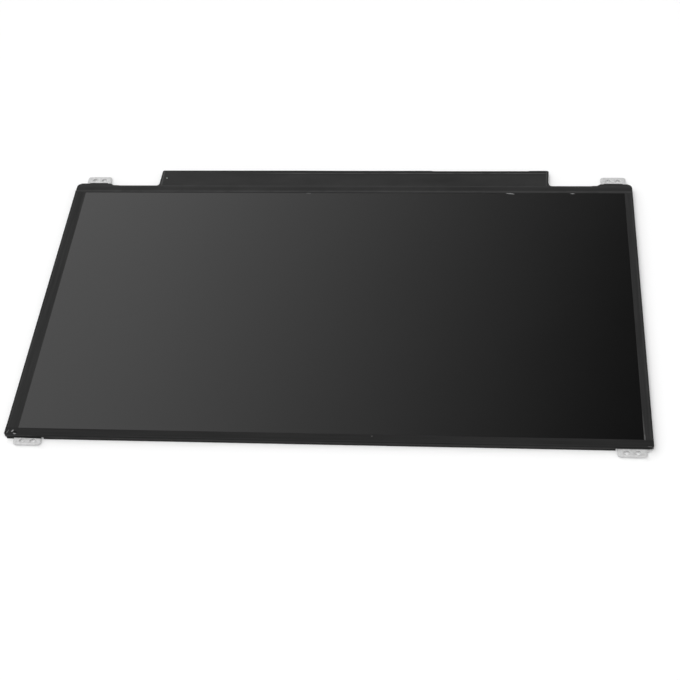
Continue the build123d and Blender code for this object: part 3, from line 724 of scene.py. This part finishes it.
def short_of_corner(radius, inside):
    """How far a rounded corner falls short of a sharp one, at a distance inside its side."""
    across = max(0.0, radius - inside)
    return radius - math.sqrt(max(0.0, radius**2 - across**2))


def steps(start, end, step):
    """Places a step apart from a start to an end."""
    return [start + step * count for count in range(1, int((end - start) / step) + 1)]


def start_piece(name, low, high):
    """A block between two corners, or a flat plate if they are level, open in edit mode."""
    bpy.ops.object.select_all(action="DESELECT")
    flat = low[Z] == high[Z]
    middle = Vector([start + end for start, end in zip(low, high)]) * MM / 2
    span = Vector([end - start for start, end in zip(low, high)]) * MM
    if flat:
        bpy.ops.mesh.primitive_plane_add(size=1.0, location=middle)
    else:
        bpy.ops.mesh.primitive_cube_add(size=1.0, location=middle)
    piece = bpy.context.active_object
    piece.name = name
    piece.scale = (span.x, span.y, 1.0 if flat else span.z)
    bpy.ops.object.transform_apply(location=True, rotation=True, scale=True)
    bpy.ops.object.mode_set(mode="EDIT")
    return piece


def start_round(name, place, height, radius, sides):
    """A short upright cylinder on a place, downwards if its height is negative, open in edit mode."""
    x, y, base = place
    bpy.ops.object.select_all(action="DESELECT")
    bpy.ops.mesh.primitive_cylinder_add(
        vertices=sides,
        radius=radius * MM,
        depth=abs(height) * MM,
        location=Vector((x, y, base + height / 2)) * MM,
    )
    piece = bpy.context.active_object
    piece.name = name
    bpy.ops.object.transform_apply(location=True, rotation=True, scale=True)
    bpy.ops.object.mode_set(mode="EDIT")
    return piece


def copy_of(node_name, name):
    """A copy of a CAD node with its faces joined up again, open in edit mode."""
    bpy.ops.object.select_all(action="DESELECT")
    piece = bpy.data.objects.new(name, NODES[node_name].data.copy())
    bpy.context.scene.collection.objects.link(piece)
    bpy.context.view_layer.objects.active = piece
    piece.select_set(True)
    bpy.ops.object.mode_set(mode="EDIT")
    bpy.ops.mesh.select_all(action="SELECT")
    bpy.ops.mesh.remove_doubles(threshold=MERGE * MM)
    bpy.ops.mesh.dissolve_limited(angle_limit=math.radians(FLAT_ANGLE))
    return piece


def choose(piece, kind, test, shortest=0.0):
    """Selects only the edges or faces whose middle passes a test, and of edges only the longer ones."""
    bpy.ops.mesh.select_mode(type=kind)
    bpy.ops.mesh.select_all(action="DESELECT")
    shape = bmesh.from_edit_mesh(piece.data)
    for item in shape.edges if kind == "EDGE" else shape.faces:
        middle = sum((corner.co for corner in item.verts), Vector()) / len(item.verts) / MM
        long_enough = kind == "FACE" or item.calc_length() > shortest * MM
        if long_enough and test(middle):
            item.select_set(True)
    shape.select_flush_mode()
    bmesh.update_edit_mesh(piece.data)


def cut_across(places, axis):
    """Cuts the piece in edit mode along straight lines at places on an axis."""
    direction = Vector((axis == X, axis == Y, axis == Z))
    for place in places:
        bpy.ops.mesh.select_all(action="SELECT")
        bpy.ops.mesh.bisect(plane_co=direction * place * MM, plane_no=direction)


def move_points(piece, rule, chosen_only=False):
    """Moves all points of the piece in edit mode, or only the chosen ones, to where a rule puts them."""
    shape = bmesh.from_edit_mesh(piece.data)
    for point in shape.verts:
        if point.select or not chosen_only:
            point.co = Vector(rule(*(point.co / MM))) * MM
    bmesh.update_edit_mesh(piece.data)


def face_outwards():
    """Turns all faces of the piece in edit mode outwards, or a sheet's faces one way."""
    bpy.ops.mesh.select_all(action="SELECT")
    bpy.ops.mesh.normals_make_consistent(inside=False)


def thicken(piece, thickness):
    """Leaves edit mode and gives a sheet its thickness, below its upper face."""
    bpy.ops.object.mode_set(mode="OBJECT")
    wall = piece.modifiers.new("thickness", "SOLIDIFY")
    wall.thickness = thickness * MM
    wall.offset = -1.0
    wall.use_even_offset = False
    bpy.ops.object.modifier_apply(modifier=wall.name)


def repeat(piece, count, step):
    """Repeats the piece in a straight row, a step apart."""
    row = piece.modifiers.new("row", "ARRAY")
    row.count = count
    row.use_relative_offset = False
    row.use_constant_offset = True
    row.constant_offset_displace = Vector(step) * MM
    bpy.ops.object.modifier_apply(modifier=row.name)


def store_wear_and_painted_light(piece, rule):
    """Stores, at every point, how much the surface is paled by wear and painted highlight (above 0) and
    darkened by painted shade (below 0).
    """
    wear = piece.data.attributes.new(WEAR_AND_PAINTED_LIGHT, "FLOAT", "POINT")
    for point, value in zip(piece.data.vertices, wear.data):
        value.value = rule(*(point.co / MM))


def finish_piece(piece, slot, finish=None, replaced=None):
    """Leaves edit mode and gives the piece its finish, the one given or else its slot's, and the body that
    it rides on.
    """
    if piece.mode == "EDIT":
        bpy.ops.object.mode_set(mode="OBJECT")
    bpy.ops.object.select_all(action="DESELECT")
    piece.select_set(True)
    bpy.context.view_layer.objects.active = piece
    bpy.ops.object.shade_smooth_by_angle(angle=math.radians(SMOOTH_ANGLE))
    piece.data.materials.clear()
    piece.data.materials.append(finish or FINISHES[slot])
    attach(piece, "root")
    if replaced:
        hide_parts(replaced)


def web_width(x):
    """The width of the web beside the flap, on this side of the panel."""
    return LEFT_WEB_WIDTH if x < MIDDLE_X else RIGHT_WEB_WIDTH


def film_far_edge(x):
    """How far the cover film reaches, at a place across the panel."""
    for ear in (LEFT_EAR, RIGHT_EAR):
        inside_tab = TAB_HALF - abs(x - ear)
        if inside_tab > 0.0:
            return FAR + (TAB_FAR - FAR) * min(1.0, inside_tab / TAB_SPLAY)
    inside_flap = min(x - FLAP_LEFT, FLAP_RIGHT - x)
    if inside_flap >= -CLOSE:
        return FILM_FAR - along(FLAP_BOW, x - FLAP_LEFT) - short_of_corner(FLAP_CORNER, inside_flap)
    past_ear = min(x - LEFT_EAR, RIGHT_EAR - x) - EAR_HALF
    if past_ear < 0.0:
        return FAR - short_of_corner(FAR_CORNER, min(x - LEFT, RIGHT - x))
    web = min(max(0.0, 1.0 + inside_flap / web_width(x)), 1.0)
    web_depth = LEFT_WEB_DEPTH if x < MIDDLE_X else RIGHT_WEB_DEPTH
    edge = RECESS + web_depth * (1.0 - math.sqrt(1.0 - web**2))
    edge += RECESS_SWELL * max(0.0, 1.0 - past_ear / RECESS_SWELL_RUN) ** 2
    return edge + (FAR - edge) * (1.0 - ease((past_ear - SHOULDER_START) / SHOULDER_RUN))


def film_lean(x, y):
    """How far the flap's right end leans outwards, more towards its far corner."""
    if x >= FLAP_RIGHT + FLAP_LEAN_END:
        return 0.0
    outwards = max(0.0, y - RECESS) / (FILM_FAR - RECESS)
    return FLAP_LEAN * outwards * ease((x - FLAP_RIGHT + FLAP_LEAN_RUN) / FLAP_LEAN_RUN)


def film_slack(x, y):
    """How far the film waves up and down where it lies loose on the board."""
    loose = ease((y - DROP_END) / SLACK_FROM_DROP) * ease((BOARD_FAR - y) / SLACK_FROM_FAR)
    loose *= ease(min(x - BOARD_LEFT, BOARD_RIGHT - x) / SLACK_FROM_ENDS)
    wave = noise.noise(Vector((x / WAVE_LENGTH, y / WAVE_WIDTH, 0.0)))
    return loose * (WAVE_HEIGHT * wave - SLACK_SINK)


def film_height(x, y):
    """The height of the film's upper face where it lies on the rim, the board or an ear."""
    past_flap = max(FLAP_LEFT - x, x - FLAP_RIGHT, 0.0)
    on_rim = ease(past_flap / web_width(x))
    height = along(FLAP_LINE, y) * (1.0 - on_rim) + along(TAB_LINE, y) * on_rim
    if y > DROP_END and past_flap == 0.0:
        past_board = max(BOARD_LEFT - x, x - BOARD_RIGHT, 0.0)
        height += film_slack(x, y) - DROOP * past_board**2
    return height


def film_crease_light_and_shade(x, y, z):
    """Painted highlights and shade along the film's creases: over the board's ends and far edge, at the step
    down, and over the glass.
    """
    if y > DROP_END and FLAP_LEFT < x < FLAP_RIGHT:
        board_fold = peak(min(abs(x - fold) for fold in BOARD_FOLDS), BOARD_FOLD_HALF)
        if board_fold > 0.0:
            return BOARD_FOLD_HIGHLIGHT * board_fold
        crest = CREST_HIGHLIGHT * peak(y - CREASE, CREASE_HALF)
        shade = PAST_CREST_SHADE * (y > CREASE + CREST_SIDE)
        shade += BEFORE_CREST_SHADE * (CREASE - BEFORE_CREST_FROM < y < CREASE - CREST_SIDE)
        return (crest - shade) * ease((x - FLAP_LEFT - CREST_FROM) / CREST_FADE)
    glass_fold = GLASS_FOLD_HIGHLIGHT * peak(y - OPENING_FAR - GLASS_FOLD, GLASS_FOLD_HALF)
    board_step = STEP_HIGHLIGHT * peak(y - DROP_START, STEP_HALF)
    shade = RIM_SHADE * (OPENING_FAR + RIM_SHADE_FROM < y < DROP_START - RIM_SHADE_TO)
    return glass_fold + board_step - shade


def film_columns():
    """Where the flat film is cut from near to far, closest at its corners, tabs, webs and board ends."""
    columns = steps(LEFT, RIGHT - COLUMN_STEP, COLUMN_STEP)
    columns += [FLAP_LEFT + FLAP_NICK, FLAP_LEFT + FLAP_NICK + FLAP_NICK_RUN / 2]
    columns += [SIGHT_X - SIGHT_SQUARE, SIGHT_X + SIGHT_SQUARE]
    for fold in BOARD_FOLDS:
        columns += [fold - BOARD_FOLD_HALF, fold, fold + BOARD_FOLD_HALF]
    for inwards, side, ear, flap in ((1, LEFT, LEFT_EAR, FLAP_LEFT), (-1, RIGHT, RIGHT_EAR, FLAP_RIGHT)):
        columns += [side + inwards * offset for offset in CORNER_COLUMNS]
        columns += [ear - offset for offset in TAB_COLUMNS]
        columns += [ear + offset for offset in TAB_COLUMNS]
        columns += [ear + inwards * (EAR_HALF + offset) for offset in SHOULDER_COLUMNS]
        columns += [flap - inwards * offset for offset in WEB_COLUMNS]
        columns += [flap + inwards * offset for offset in FLAP_COLUMNS]
    return sorted(columns)


def film_rows():
    """Where the flat film is cut from left to right, closest at its folds, webs and crease."""
    rows = [place for place, level in FLAP_LINE[1:-1]]
    rows += [FAR, TAB_FOLD, TAB_FAR, BOARD_FAR + EDGE_ROW]
    rows += [SIGHT_Y - SIGHT_SQUARE, SIGHT_Y + SIGHT_SQUARE]
    rows += [OPENING_FAR + offset for offset in GLASS_ROWS]
    rows += [DROP_START + offset for offset in STEP_ROWS]
    rows += [RECESS + offset for offset in WEB_ROWS]
    rows += [CREASE + offset for offset in CREASE_ROWS]
    return sorted(rows)


def punch_sight_hole(film):
    """Opens a square in the flat film and fills it again up to a round hole."""

    def from_sight(middle):
        return max(abs(middle.x - SIGHT_X), abs(middle.y - SIGHT_Y))

    def onto_circle(x, y, z):
        offset = Vector((x - SIGHT_X, y - SIGHT_Y)).normalized() * SIGHT_RADIUS
        return (SIGHT_X + offset.x, SIGHT_Y + offset.y, FLAP_LEVEL)

    choose(film, "FACE", lambda middle: from_sight(middle) < SIGHT_SQUARE)
    bpy.ops.mesh.dissolve_faces()
    bpy.ops.mesh.delete(type="FACE")
    choose(film, "EDGE", lambda middle: from_sight(middle) < SIGHT_SQUARE + CLOSE)
    bpy.ops.mesh.subdivide(number_cuts=SIGHT_CUTS)
    bpy.ops.mesh.extrude_region_move()
    move_points(film, onto_circle, chosen_only=True)


def build_cover_film():
    """The die-cut cover film: cut flat, trimmed to its outline, then laid over rim, board and far ears."""
    film = start_piece("draped_cover_film", (LEFT, OPENING_FAR, FLAP_LEVEL), (RIGHT, FILM_FAR, FLAP_LEVEL))
    cut_across(film_columns(), X)
    cut_across(film_rows(), Y)
    choose(film, "FACE", lambda middle: middle.y > film_far_edge(middle.x))
    bpy.ops.mesh.delete(type="FACE")
    punch_sight_hole(film)
    move_points(film, lambda x, y, z: (x, min(y, film_far_edge(x)), z))
    bpy.ops.mesh.select_all(action="SELECT")
    bpy.ops.mesh.remove_doubles(threshold=CLOSE * MM)
    face_outwards()
    move_points(film, lambda x, y, z: (x, y, film_height(x, y)))
    thicken(film, FILM_THICK)
    # The film's creases carry painted highlights and painted shade, with some wear
    store_wear_and_painted_light(film, film_crease_light_and_shade)
    bpy.ops.object.mode_set(mode="EDIT")
    move_points(film, lambda x, y, z: (x + film_lean(x, y), y, z))
    finish_piece(film, "cover_film", replaced="board_cover_film")


def round_folds(tape, axis, outer):
    """Rounds the tape's two long edges where it folds round the outside of the rim, and leaves edit mode."""

    def on_fold(middle):
        at_level = min(abs(middle.z - TAPE_TOP), abs(middle.z - TAPE_BOTTOM)) < CLOSE
        return at_level and abs(middle[axis] - outer) < CLOSE

    choose(tape, "EDGE", on_fold, shortest=FOLD_SHORTEST)
    bpy.ops.mesh.bevel(offset=FOLD_ROUND * MM, segments=FOLD_STEPS)
    bpy.ops.object.mode_set(mode="OBJECT")


def build_side_tape(side, outer, inner):
    """A side strip of the edge tape, its folds rounded as tape bends."""

    def side_tape_highlights(x, y, z):
        if z <= FRONT - SIDE_HIGHLIGHT_DEPTH:
            return 0.0
        fold = peak(abs(x - outer) - SIDE_FOLD, SIDE_FOLD_HALF)
        inner_edge = peak(max(0.0, abs(x - inner) - INNER_EDGE), INNER_EDGE_FADE)
        in_corner = ease((OPENING_NEAR + CORNER_RUN - y) / CORNER_RUN) * (side == "right")
        return max(fold * SIDE_FOLD_HIGHLIGHT, inner_edge * (INNER_EDGE_GLINT + CORNER_GLINT * in_corner))

    tape = copy_of(f"rim_tape_{side}", f"folded_tape_{side}")
    inwards = 1 if inner > outer else -1
    cut_across([outer + inwards * offset for offset in SIDE_OUTER_CUTS], X)
    cut_across([inner - inwards * offset for offset in SIDE_INNER_CUTS], X)
    cut_across(steps(NEAR, OPENING_FAR, SIDE_STEP), Y)
    round_folds(tape, X, outer)
    # Painted highlights along the fold and a painted glint along the inner edge
    store_wear_and_painted_light(tape, side_tape_highlights)
    finish_piece(tape, "edge_tape", SIDE_TAPE_PAINTED_LIGHTER, replaced=f"rim_tape_{side}")


def near_tape_light_and_shade(x, y, z):
    """Painted light and shade on the near tape: pale lines of painted highlight along its top and its side,
    and painted shade beside them.
    """
    depth = TAPE_TOP - z
    at_left = ease((LEFT + LEFT_END - x) / LEFT_END_FADE)
    on_top = (TOP_LINE_HIGHLIGHT - TOP_LINE_HIGHLIGHT * at_left) * peak(y - NEAR - TOP_LINE, TOP_LINE_HALF)
    on_side = SIDE_LINE_LIGHT + SIDE_LINE_LEFT_LIGHT * at_left
    on_side *= peak(depth - SIDE_LINE + SIDE_LINE_RISE * at_left, SIDE_LINE_HALF)
    shade = FOLD_SHADE * (1.0 - at_left) * (depth < FOLD_SHADE_DEPTH and y < NEAR + FOLD_SHADE_SKIN)
    shade += LEFT_SHADE * at_left * (LEFT_SHADE_FROM < depth < LEFT_SHADE_TO)
    return on_top * (depth < TOP_SKIN) + on_side * (y < NEAR + SIDE_SKIN) - shade


def build_near_tape():
    """The near strip of the edge tape, its folds rounded as tape bends."""
    tape = copy_of("rim_tape_near", "folded_tape_near")
    cut_across([NEAR + TOP_LINE, NEAR + TOP_LINE + TOP_LINE_HALF, OPENING_NEAR - NEAR_INNER_CUT], Y)
    cut_across([TAPE_TOP - depth for depth in NEAR_DEPTH_CUTS], Z)
    cut_across(steps(LEFT, RIGHT, NEAR_STEP), X)
    cut_across([LEFT + NEAR_LEFT_CUT] + [RIGHT - offset for offset in NEAR_RIGHT_CUTS], X)
    round_folds(tape, Y, NEAR)
    # Painted highlights and painted shade along the near tape
    store_wear_and_painted_light(tape, near_tape_light_and_shade)
    finish_piece(tape, "edge_tape", NEAR_TAPE, replaced="rim_tape_near")


def build_tape_lap():
    """The short lap that the near tape leaves on the near left ear, turned up against the rim."""
    lap_left = LEFT_EAR - LAP_HALF
    lap_right = LEFT_EAR + LAP_HALF

    def torn(x, y, z):
        if NEAR - y <= LAP_REACH / 2:
            return (x, y - LAP_SETBACK, z)
        slant = LAP_SLANT / 2 - LAP_SLANT * (x - lap_left) / (lap_right - lap_left)
        return (x, y + slant + LAP_TEAR * noise.noise(Vector((x * LAP_TEAR_RATE, LAP_TEAR_SEED, 0.0))), z)

    def on_fold(middle):
        return abs(middle.y - NEAR + LAP_SETBACK) < CLOSE and abs(middle.z - LAP_LEVEL) < CLOSE

    lap = start_piece(
        "tape_lap_near_left", (lap_left, NEAR - LAP_REACH, LAP_LEVEL), (lap_right, NEAR, LAP_LEVEL)
    )
    choose(lap, "EDGE", lambda middle: abs(middle.y - NEAR) < CLOSE)
    bpy.ops.mesh.extrude_region_move(TRANSFORM_OT_translate={"value": (0.0, 0.0, LAP_RISE * MM)})
    cut_across(steps(lap_left, lap_right, LAP_STEP), X)
    move_points(lap, torn)
    choose(lap, "EDGE", on_fold)
    bpy.ops.mesh.bevel(offset=LAP_FOLD * MM, segments=LAP_FOLD_STEPS)
    face_outwards()
    thicken(lap, LAP_THICK)
    finish_piece(lap, "edge_tape", NEAR_TAPE)


def build_ear(corner):
    """A stamped bracket with its sheared edges slightly broken."""
    ear = copy_of(f"mounting_bracket_{corner}", f"stamped_ear_{corner}")
    bpy.ops.object.mode_set(mode="OBJECT")
    broken = ear.modifiers.new("broken_edges", "BEVEL")
    broken.width = EAR_EDGE * MM
    broken.segments = 2
    broken.limit_method = "ANGLE"
    broken.angle_limit = math.radians(EAR_EDGE_ANGLE)
    bpy.ops.object.modifier_apply(modifier=broken.name)
    finish_piece(ear, "bracket_steel", replaced=f"mounting_bracket_{corner}")


def build_mark(name, place, size, turn, kind):
    """A tiny flat flake with a ragged outline, lying at a place from the middle of the screen."""
    x, y, level = MIDDLE_X + place[X], MIDDLE_Y + place[Y], place[Z]
    bpy.ops.object.select_all(action="DESELECT")
    bpy.ops.mesh.primitive_circle_add(vertices=MARK_SIDES, radius=0.5, fill_type="NGON")
    flake = bpy.context.active_object
    flake.name = name
    bpy.ops.object.mode_set(mode="EDIT")
    shape = bmesh.from_edit_mesh(flake.data)
    for point in shape.verts:
        raggedness = noise.noise(point.co * MARK_RAGGED_RATE + Vector((x, y, 0.0)))
        point.co = point.co * (1.0 + MARK_RAGGED * raggedness)
    bmesh.update_edit_mesh(flake.data)
    bpy.ops.mesh.select_all(action="SELECT")
    bpy.ops.mesh.extrude_region_move(TRANSFORM_OT_translate={"value": (0.0, 0.0, 1.0)})
    bpy.ops.transform.resize(value=(MARK_TOP_SHARE, MARK_TOP_SHARE, 1.0))
    face_outwards()
    bpy.ops.object.mode_set(mode="OBJECT")
    flake.scale = Vector((*size, MARK_THICK)) * MM
    flake.rotation_euler = (0.0, 0.0, math.radians(turn))
    flake.location = Vector((x, y, level)) * MM
    bpy.ops.object.transform_apply(location=True, rotation=True, scale=True)
    finish_piece(flake, "edge_tape", MARK_FINISHES[kind])


def build_end_caps(node_name, name, cap_length, part_length, pitch, count, row_gap):
    """The tinned ends of two rows of small parts."""
    x, y, z = (reach(node_name, LOW, axis) for axis in (X, Y, Z))
    width = reach(node_name, HIGH, X) - x - pitch * (count - 1)
    caps = start_piece(
        name,
        (x - CAP_SKIN, y - CAP_SKIN, z - CAP_SKIN),
        (x + width + CAP_SKIN, y + cap_length, BOARD_BACK),
    )
    bpy.ops.mesh.select_all(action="SELECT")
    bpy.ops.mesh.bevel(offset=CAP_ROUND * MM, segments=2)
    bpy.ops.object.mode_set(mode="OBJECT")
    repeat(caps, 2, (0.0, part_length - cap_length + CAP_SKIN, 0.0))
    repeat(caps, 2, (0.0, row_gap, 0.0))
    repeat(caps, count, (pitch, 0.0, 0.0))
    finish_piece(caps, "socket_metal")


def build_chip_joints(node_name, name, count):
    """The row of solder joints along each of a chip's four sides."""
    chip_left, chip_right = (reach(node_name, end, X) for end in (LOW, HIGH))
    chip_near, chip_far = (reach(node_name, end, Y) for end in (LOW, HIGH))
    middle = Vector(((chip_left + chip_right) / 2, (chip_near + chip_far) / 2, BOARD_BACK)) * MM
    pitch = (chip_right - chip_left) * JOINT_ROW_SHARE / (count - 1)
    first = (chip_left + chip_right - pitch * (count - 1)) / 2
    outer = chip_far + JOINT_REACH
    level = BOARD_BACK - JOINT_HEIGHT
    joints = start_piece(
        name,
        (first - JOINT_HALF, chip_far - JOINT_UNDER, level),
        (first + JOINT_HALF, outer, BOARD_BACK),
    )
    choose(joints, "EDGE", lambda place: abs(place.y - outer) < CLOSE and abs(place.z - level) < CLOSE)
    bpy.ops.mesh.bevel(offset=JOINT_ROUND * MM, segments=3, profile=JOINT_PROFILE)
    bpy.ops.object.mode_set(mode="OBJECT")
    repeat(joints, count, (pitch, 0.0, 0.0))
    bpy.ops.object.mode_set(mode="EDIT")
    bpy.ops.mesh.select_all(action="SELECT")
    for quarter_turn in range(3):
        bpy.ops.mesh.duplicate()
        bpy.ops.transform.rotate(value=math.pi / 2, orient_axis="Z", center_override=middle)
    finish_piece(joints, "socket_metal")


def build_coil_core(node_name, name):
    """The round core set in the top of a coil, with a narrow groove round it."""
    x = (reach(node_name, LOW, X) + reach(node_name, HIGH, X)) / 2
    y = (reach(node_name, LOW, Y) + reach(node_name, HIGH, Y)) / 2
    level = reach(node_name, LOW, Z)
    core = start_round(name, (x, y, level + CORE_SUNK), -CORE_SUNK - CORE_PROUD, CORE_RADIUS, CORE_SIDES)
    choose(core, "FACE", lambda middle: abs(middle.z - level + CORE_PROUD) < CLOSE)
    bpy.ops.mesh.inset(thickness=CORE_RIM * MM)
    bpy.ops.mesh.inset(thickness=CORE_GROOVE_SIDE * MM, depth=-CORE_GROOVE_DEPTH * MM)
    bpy.ops.mesh.inset(thickness=CORE_GROOVE_SIDE * MM, depth=CORE_GROOVE_DEPTH * MM)
    finish_piece(core, "ferrite")


def build_round_pads(name, place, height, radius, slot, count=1, pitch=0.0):
    """A row of small round pads, domed at the end that stands off the board."""
    pads = start_round(name, place, height, radius, PAD_SIDES)
    top = place[Z] + height
    choose(pads, "FACE", lambda middle: abs(middle.z - top) < CLOSE)
    dome = min(radius * PAD_DOME_SHARE, abs(height) * PAD_DOME_DEPTH_SHARE)
    bpy.ops.mesh.bevel(offset=dome * MM, segments=3)
    bpy.ops.object.mode_set(mode="OBJECT")
    repeat(pads, count, (pitch, 0.0, 0.0))
    finish_piece(pads, slot)


def build_board_details():
    """Tin, solder, cores and pads on the board."""
    build_end_caps(
        "capacitors", "capacitor_ends", cap_length=0.35, part_length=1.6, pitch=3.4, count=11, row_gap=4.4
    )
    build_end_caps(
        "resistors", "resistor_ends", cap_length=0.22, part_length=1.0, pitch=2.6, count=9, row_gap=4.6
    )
    build_chip_joints("timing_controller", "timing_joints", count=16)
    build_chip_joints("power_chip", "power_joints", count=8)
    build_chip_joints("led_driver_chip", "led_driver_joints", count=6)
    build_coil_core("power_coil", "power_coil_core")
    build_coil_core("led_driver_coil", "led_driver_coil_core")
    test_pads = (BOARD_LEFT + TEST_PADS_INSET, BOARD_NEAR + TEST_PADS_LINE, BOARD_BACK)
    build_round_pads("test_pads", test_pads, height=-0.03, radius=0.5, slot="gold", count=6, pitch=3.2)
    tail_left = BOARD_LEFT + TAIL_INSET - TAIL_PITCH * (TAIL_JOINTS - 1) / 2
    build_round_pads(
        "tail_solder",
        (tail_left, BOARD_NEAR + TAIL_LINE, BOARD_BACK - TAIL_THICK),
        height=-0.12,
        radius=0.45,
        slot="socket_metal",
        count=TAIL_JOINTS,
        pitch=TAIL_PITCH,
    )
    sight_pad = (SIGHT_X, SIGHT_Y, BOARD_TOP)
    build_round_pads("sight_pad", sight_pad, height=0.09, radius=0.3, slot="socket_metal")


def build_floor():
    """A plain pale floor that keeps the panel's shadow."""
    bpy.ops.mesh.primitive_plane_add(size=FLOOR_SIZE)
    floor = bpy.context.active_object
    floor.name = "floor"
    paint = bpy.data.materials.new("floor_paint")
    paint.use_nodes = True
    tree = paint.node_tree
    tree.nodes.remove(tree.nodes["Principled BSDF"])
    matt = add_node(tree, "ShaderNodeBsdfDiffuse", {"Color": grey(FLOOR_GREY)})
    connect(tree, tree.nodes["Material Output"], {"Surface": matt.outputs["BSDF"]})
    floor.data.materials.append(paint)


def build_sky():
    """The room: white to the camera and through glass, a soft bright wall to everything else."""
    sky = bpy.data.worlds.new("studio_sky")
    bpy.context.scene.world = sky
    sky.use_nodes = True
    tree = sky.node_tree

    def math_node(operation, *values):
        made = add_node(tree, "ShaderNodeMath", dict(enumerate(values)), operation=operation)
        return made.outputs["Value"]

    def map_range(value, start, end, low, high, interpolation="LINEAR"):
        sockets = {"Value": value, "From Min": start, "From Max": end, "To Min": low, "To Max": high}
        made = add_node(tree, "ShaderNodeMapRange", sockets, interpolation_type=interpolation)
        return made.outputs["Result"]

    direction = add_node(tree, "ShaderNodeTexCoord").outputs["Generated"]
    parts = add_node(tree, "ShaderNodeSeparateXYZ", {"Vector": direction}).outputs
    lift = math_node("MULTIPLY_ADD", parts["Z"], SKY_LIFT_WEIGHT, parts["X"])
    fade = math_node("POWER", map_range(lift, SKY_DARK_AT, SKY_BRIGHT_AT, 0.0, 1.0), SKY_CURVE)
    behind = map_range(parts["Y"], SKY_FRONT_AT, SKY_BACK_AT, 0.0, SKY_BRIGHT, "SMOOTHSTEP")
    dome = map_range(parts["Y"], SKY_DOME_FULL, SKY_DOME_END, SKY_DOME, 0.0, "SMOOTHSTEP")
    strength = math_node("ADD", math_node("MULTIPLY", fade, behind), dome)
    wall = tree.nodes["Background"]
    connect(tree, wall, {"Color": WHITE, "Strength": strength})
    white = add_node(tree, "ShaderNodeBackground", {"Color": WHITE})
    path = add_node(tree, "ShaderNodeLightPath").outputs
    seen = math_node("ADD", path["Is Camera Ray"], path["Is Transmission Ray"])
    backgrounds = {"Fac": seen, 1: wall.outputs["Background"], 2: white.outputs["Background"]}
    mix = add_node(tree, "ShaderNodeMixShader", backgrounds)
    connect(tree, tree.nodes["World Output"], {"Surface": mix.outputs["Shader"]})


def build_lamp():
    """One large soft lamp overhead, turned to the panel."""
    light = bpy.data.lights.new("soft_lamp", "AREA")
    light.shape = "SQUARE"
    light.size = LAMP_SIZE
    light.energy = LAMP_POWER
    lamp = bpy.data.objects.new("soft_lamp", light)
    bpy.context.scene.collection.objects.link(lamp)
    lamp.location = LAMP_PLACE
    lamp.rotation_euler = (-LAMP_PLACE).to_track_quat("-Z", "Y").to_euler()


def build_camera():
    """The camera, at the photograph's place."""
    lens = bpy.data.cameras.new("camera")
    lens.lens = CAMERA_LENS
    camera = bpy.data.objects.new("camera", lens)
    bpy.context.scene.collection.objects.link(camera)
    camera.location = CAMERA_PLACE
    level = (CAMERA_AIM - CAMERA_PLACE).to_track_quat("-Z", "Y")
    camera.rotation_euler = (level @ Quaternion((0, 0, 1), CAMERA_ROLL)).to_euler()
    bpy.context.scene.camera = camera


dress_nodes()
build_cover_film()
build_side_tape("left", LEFT, OPENING_LEFT)
build_side_tape("right", RIGHT, OPENING_RIGHT)
build_near_tape()
build_tape_lap()
for ear_corner in ("near_left", "near_right", "far_left", "far_right"):
    build_ear(ear_corner)
for mark in MARKS:
    build_mark(*mark)
build_board_details()
build_floor()
build_sky()
build_lamp()
build_camera()
bpy.context.scene.view_settings.view_transform = "Standard"
